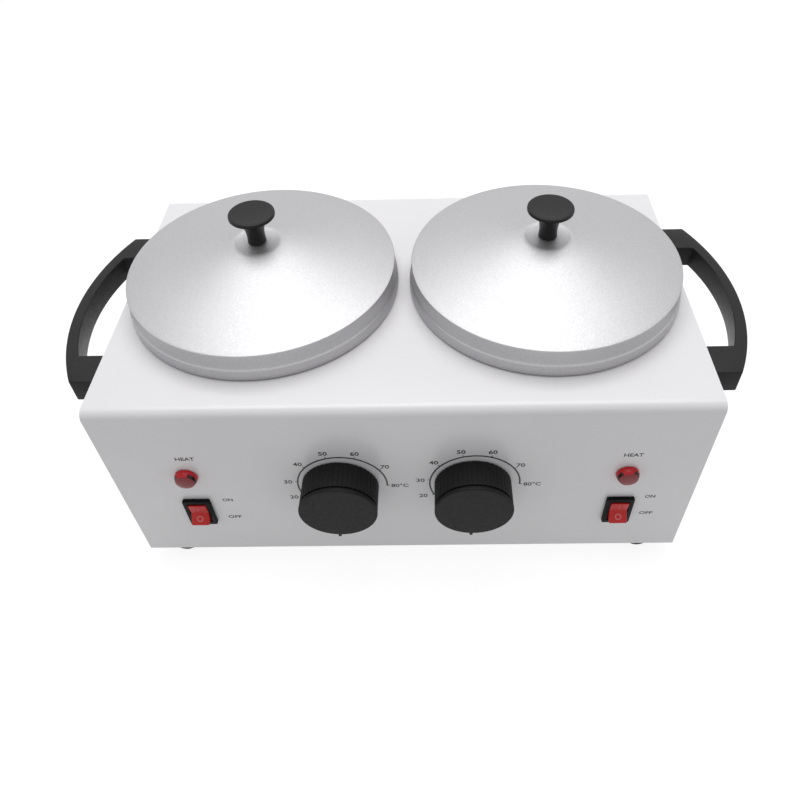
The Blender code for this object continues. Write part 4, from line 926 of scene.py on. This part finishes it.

# Pilot lamps: a clear red moulded lens pushed through the panel and held by a steel ring behind it.
# The face is dull; the rest of the lens colour is painted light, held by a mesh attribute: 0 on the face,
# 0.5 on the sloping side's gaps between two posts, a brighter red that is a painted highlight, and 1 on the
# posts, near-black painted shade that stands for the dark barrel behind the lens.
LAMP_RADIUS = 0.006
LENS_FACE_RADIUS = 0.0048
lens_outline = [(0, 0.0051), (0.0020, 0.00505), (0.0036, 0.0049), (LENS_FACE_RADIUS, 0.0045),
                (0.0050, 0.0042), (0.0053, 0.0037), (0.0056, 0.0030), (0.0059, 0.0020),
                (LAMP_RADIUS, 0.0013), (LAMP_RADIUS, 0.0004), (0.0059, 0.0003), (0.0048, 0.0003),
                (0.0048, -0.0127), (0, -0.0127)]
lens = lathe(lens_outline, 96)
painted_lens_light = lens.data.attributes.new("painted_lens_light", "FLOAT", "POINT")
for corner, shade in zip(lens.data.vertices, painted_lens_light.data):
    spoke = corner.co.xy.length
    angle = math.degrees(math.atan2(corner.co.y, corner.co.x)) if spoke else 0
    # The angles mark two patches of painted shade on the sloping side; the rest of the side and its rim get
    # the painted highlight.
    in_painted_shade = -25 < angle < 66 or angle > 128 or angle < -155
    if spoke > LENS_FACE_RADIUS * 1.02:
        shade.value = 1.0 if in_painted_shade and spoke < LAMP_RADIUS * 0.97 else 0.5
red_lens = finish_of("red_lamp_lens", (0.34, 0.010, 0.014), (0.50, 0.022, 0.028), (0.22, 0.30), 350,
                     strength=0, Specular_IOR_Level=0.3)
lens_tree = red_lens.node_tree
painted_light_attribute = lens_tree.nodes.new("ShaderNodeAttribute")
painted_light_attribute.attribute_name = "painted_lens_light"
lens_ramp = lens_tree.nodes.new("ShaderNodeValToRGB")
lens_ramp.color_ramp.elements.new(0.5)
# Ramp colours: dull red face, brighter red painted highlight, near-black painted shade.
for stop, colour in zip(lens_ramp.color_ramp.elements,
                        ((0.25, 0.030, 0.036), (0.55, 0.012, 0.020), (0.010, 0.004, 0.004))):
    stop.color = (*colour, 1)
lens_tree.links.new(painted_light_attribute.outputs["Fac"], lens_ramp.inputs["Fac"])
lens_tree.links.new(lens_ramp.outputs["Color"], lens_tree.nodes["Principled BSDF"].inputs["Base Color"])
for side in SIDES:
    spot = middle(f"{side}_lamp_lens")
    piece = another(lens, f"{side}_lamp_dome", (spot.x, FRONT, spot.z), upright)
    dressed(piece, red_lens, "housing", "lamp_plastic", f"{side}_lamp_lens")
    dress(f"{side}_lamp_ring", zinc)
bpy.data.objects.remove(lens)

# Rocker switches: a black nylon housing snapped into the panel, and a red rocker that tips on two
# pins, with a line and a ring in faded pink on its two ends.
BEZEL_FRONT = 0.0023
BEZEL_HALF_WIDTH = 0.0075
BEZEL_HALF_HEIGHT = 0.01125
BODY_HALF_WIDTH = 0.0066
BODY_HALF_HEIGHT = 0.0097
TAB_HEIGHT = 0.007
TAB_HALF_WIDTH = 0.00315
TAB_HALF_SHEET = 0.0006
CAVITY_HALF_WIDTH = 0.0053
CAVITY_HALF_HEIGHT = 0.0087
bezel = block_between((-BEZEL_HALF_WIDTH, -BEZEL_HALF_HEIGHT, 0.0003),
                      (BEZEL_HALF_WIDTH, BEZEL_HALF_HEIGHT, BEZEL_FRONT))
pick("EDGE", lambda spot, along: abs(along.z) > 0.5)
bpy.ops.mesh.bevel(offset=0.0009, segments=5, profile=0.5)
pick("FACE", lambda spot, facing: facing.z > 0.5)
bpy.ops.mesh.bevel(offset=0.0003, segments=3, profile=0.5, affect="EDGES")
switch_body = block_between((-BODY_HALF_WIDTH, -BODY_HALF_HEIGHT, BEZEL_FRONT - 0.018),
                            (BODY_HALF_WIDTH, BODY_HALF_HEIGHT, 0.0012))
begin()
bezel.select_set(True)
shaped(bezel, "BOOLEAN", operation="UNION", solver="EXACT", object=switch_body)
bpy.data.objects.remove(switch_body)
for height in (-TAB_HEIGHT, TAB_HEIGHT):
    tab = block_between((-TAB_HALF_WIDTH, height - TAB_HALF_SHEET, -0.0237),
                        (TAB_HALF_WIDTH, height + TAB_HALF_SHEET, -0.0149))
    begin()
    bezel.select_set(True)
    shaped(bezel, "BOOLEAN", operation="UNION", solver="EXACT", object=tab)
    bpy.data.objects.remove(tab)
cavity = block_between((-CAVITY_HALF_WIDTH, -CAVITY_HALF_HEIGHT, BEZEL_FRONT - 0.008),
                       (CAVITY_HALF_WIDTH, CAVITY_HALF_HEIGHT, BEZEL_FRONT + 0.002))
begin()
cut(bezel, [cavity])
nylon = finish_of("black_nylon", (0.002, 0.003, 0.003), (0.004, 0.005, 0.005), (0.44, 0.54), 800,
                  strength=0.06, Specular_IOR_Level=0.08)

PIVOT = BEZEL_FRONT - 0.0025
ROCKER_REST = math.radians(-15)
ROCKER_HALF_WIDTH = 0.0049
ROCKER_HALF_LENGTH = 0.0070
ROCKER_END_RISE = 0.0052
ROCKER_DIP = 0.0028
ROCKER_ROOT = 0.0042
ROCKER_MARKS = (("I", 1, 0.0034, 0.0034, 0.75), ("O", -1, 0.0037, 0.0034, 0.96))
rocker = block_between((-ROCKER_HALF_WIDTH, -ROCKER_HALF_LENGTH, 0.0012),
                       (ROCKER_HALF_WIDTH, ROCKER_HALF_LENGTH, ROCKER_END_RISE))
pick("FACE", lambda spot, facing: facing.z < -0.5)
bpy.ops.mesh.extrude_region_move(TRANSFORM_OT_translate={"value": (0, 0, -ROCKER_ROOT)})
bpy.ops.transform.resize(value=(1, ROCKER_ROOT / ROCKER_HALF_LENGTH, 1), center_override=(0, 0, 0))
bpy.ops.object.mode_set(mode="OBJECT")
begin()
bpy.context.view_layer.objects.active = rocker
rocker.select_set(True)
bpy.ops.object.mode_set(mode="EDIT")
bpy.ops.mesh.select_all(action="SELECT")
bpy.ops.mesh.bisect(plane_co=(0, 0, 0), plane_no=(0, 1, 0))
pick("EDGE", lambda spot, along: abs(spot.y) < 0.0001 and abs(along.x) > 0.5 and spot.z > 0)
bpy.ops.transform.translate(value=(0, 0, -ROCKER_DIP))
bpy.ops.object.mode_set(mode="OBJECT")
soften(rocker, 0.0004, 3, 25)
rocker_red = finish_of("red_rocker", (0.53, 0.013, 0.012), (0.59, 0.018, 0.015), (0.30, 0.38), 500,
                       strength=0.02, Specular_IOR_Level=0.32)
mark_pink = finish_of("pink_marking", (0.56, 0.15, 0.15), (0.66, 0.19, 0.18), (0.35, 0.5), 900,
                      strength=0.05)
slope = math.atan2(ROCKER_DIP, ROCKER_HALF_LENGTH)
for side in SIDES:
    spot = middle(f"{side}_switch_housing")
    piece = another(bezel, f"{side}_switch_bezel", (spot.x, FRONT, spot.z), upright)
    dressed(piece, nylon, "housing", "switch_plastic", f"{side}_switch_housing")
    pivot_place = (spot.x, FRONT - PIVOT, spot.z)
    tilt = (math.pi / 2 + ROCKER_REST, 0, 0)
    piece = another(rocker, f"{side}_red_rocker", pivot_place, tilt)
    dressed(piece, rocker_red, f"{side}_rocker", "rocker_plastic", f"{side}_switch_rocker")
    marks = []
    for text, way, height, reach, widening in ROCKER_MARKS:
        mark = word(text, height, 0, 0, widening)
        lean = Euler((way * slope, 0, 0)).to_matrix().to_4x4()
        rise = ROCKER_END_RISE - ROCKER_DIP + reach * math.tan(slope)
        mark.data.transform(Matrix.Translation((0, way * reach, rise)) @ lean)
        marks.append(mark)
    marks = joined(marks)
    settle(marks, f"{side}_rocker_marks", pivot_place, tilt)
    dressed(marks, mark_pink, f"{side}_rocker", "rocker_plastic")
bpy.data.objects.remove(bezel)
bpy.data.objects.remove(rocker)

# Cord gland and wiring: a black nylon gland with its nut in the back wall, a white terminal block
# with an earth screw on the base, and silicone leads to the heaters and the switches.
gland_outline = [(0.0056, 0.0180), (0.0050, 0.0180), (0.0036, 0.0176), (0.0036, -0.0097), (0.0060, -0.0097),
                 (0.0060, 0.0003), (0.0095, 0.0003), (0.0095, 0.0050)]
gland_outline += eased([(0.0090, 0.0058), (0.0082, 0.0094), (0.0072, 0.0132), (0.0062, 0.0164),
                        (0.0058, 0.0178)], 3)
gland = lathe(gland_outline, 72, closed=True)
soften(gland, 0.0003, 2)
spot = middle("cord_gland")
settle(gland, "cord_gland_body", (spot.x, cover_high.y, spot.z), (-math.pi / 2, 0, 0))
dressed(gland, nylon, "housing", "gland_plastic", "cord_gland")
dress("gland_nut", nylon)
melamine = finish_of("white_melamine", (0.66, 0.65, 0.60), (0.76, 0.75, 0.71), (0.38, 0.5), 500)
silicone = finish_of("white_silicone_lead", (0.60, 0.59, 0.55), (0.70, 0.69, 0.66), (0.5, 0.65), 900)
dress("terminal_block", melamine)
dress("earth_screw", zinc)
for side in SIDES:
    dress(f"{side}_heater_lead", silicone)
    dress(f"{side}_switch_lead", silicone)

bpy.ops.object.select_all(action="DESELECT")
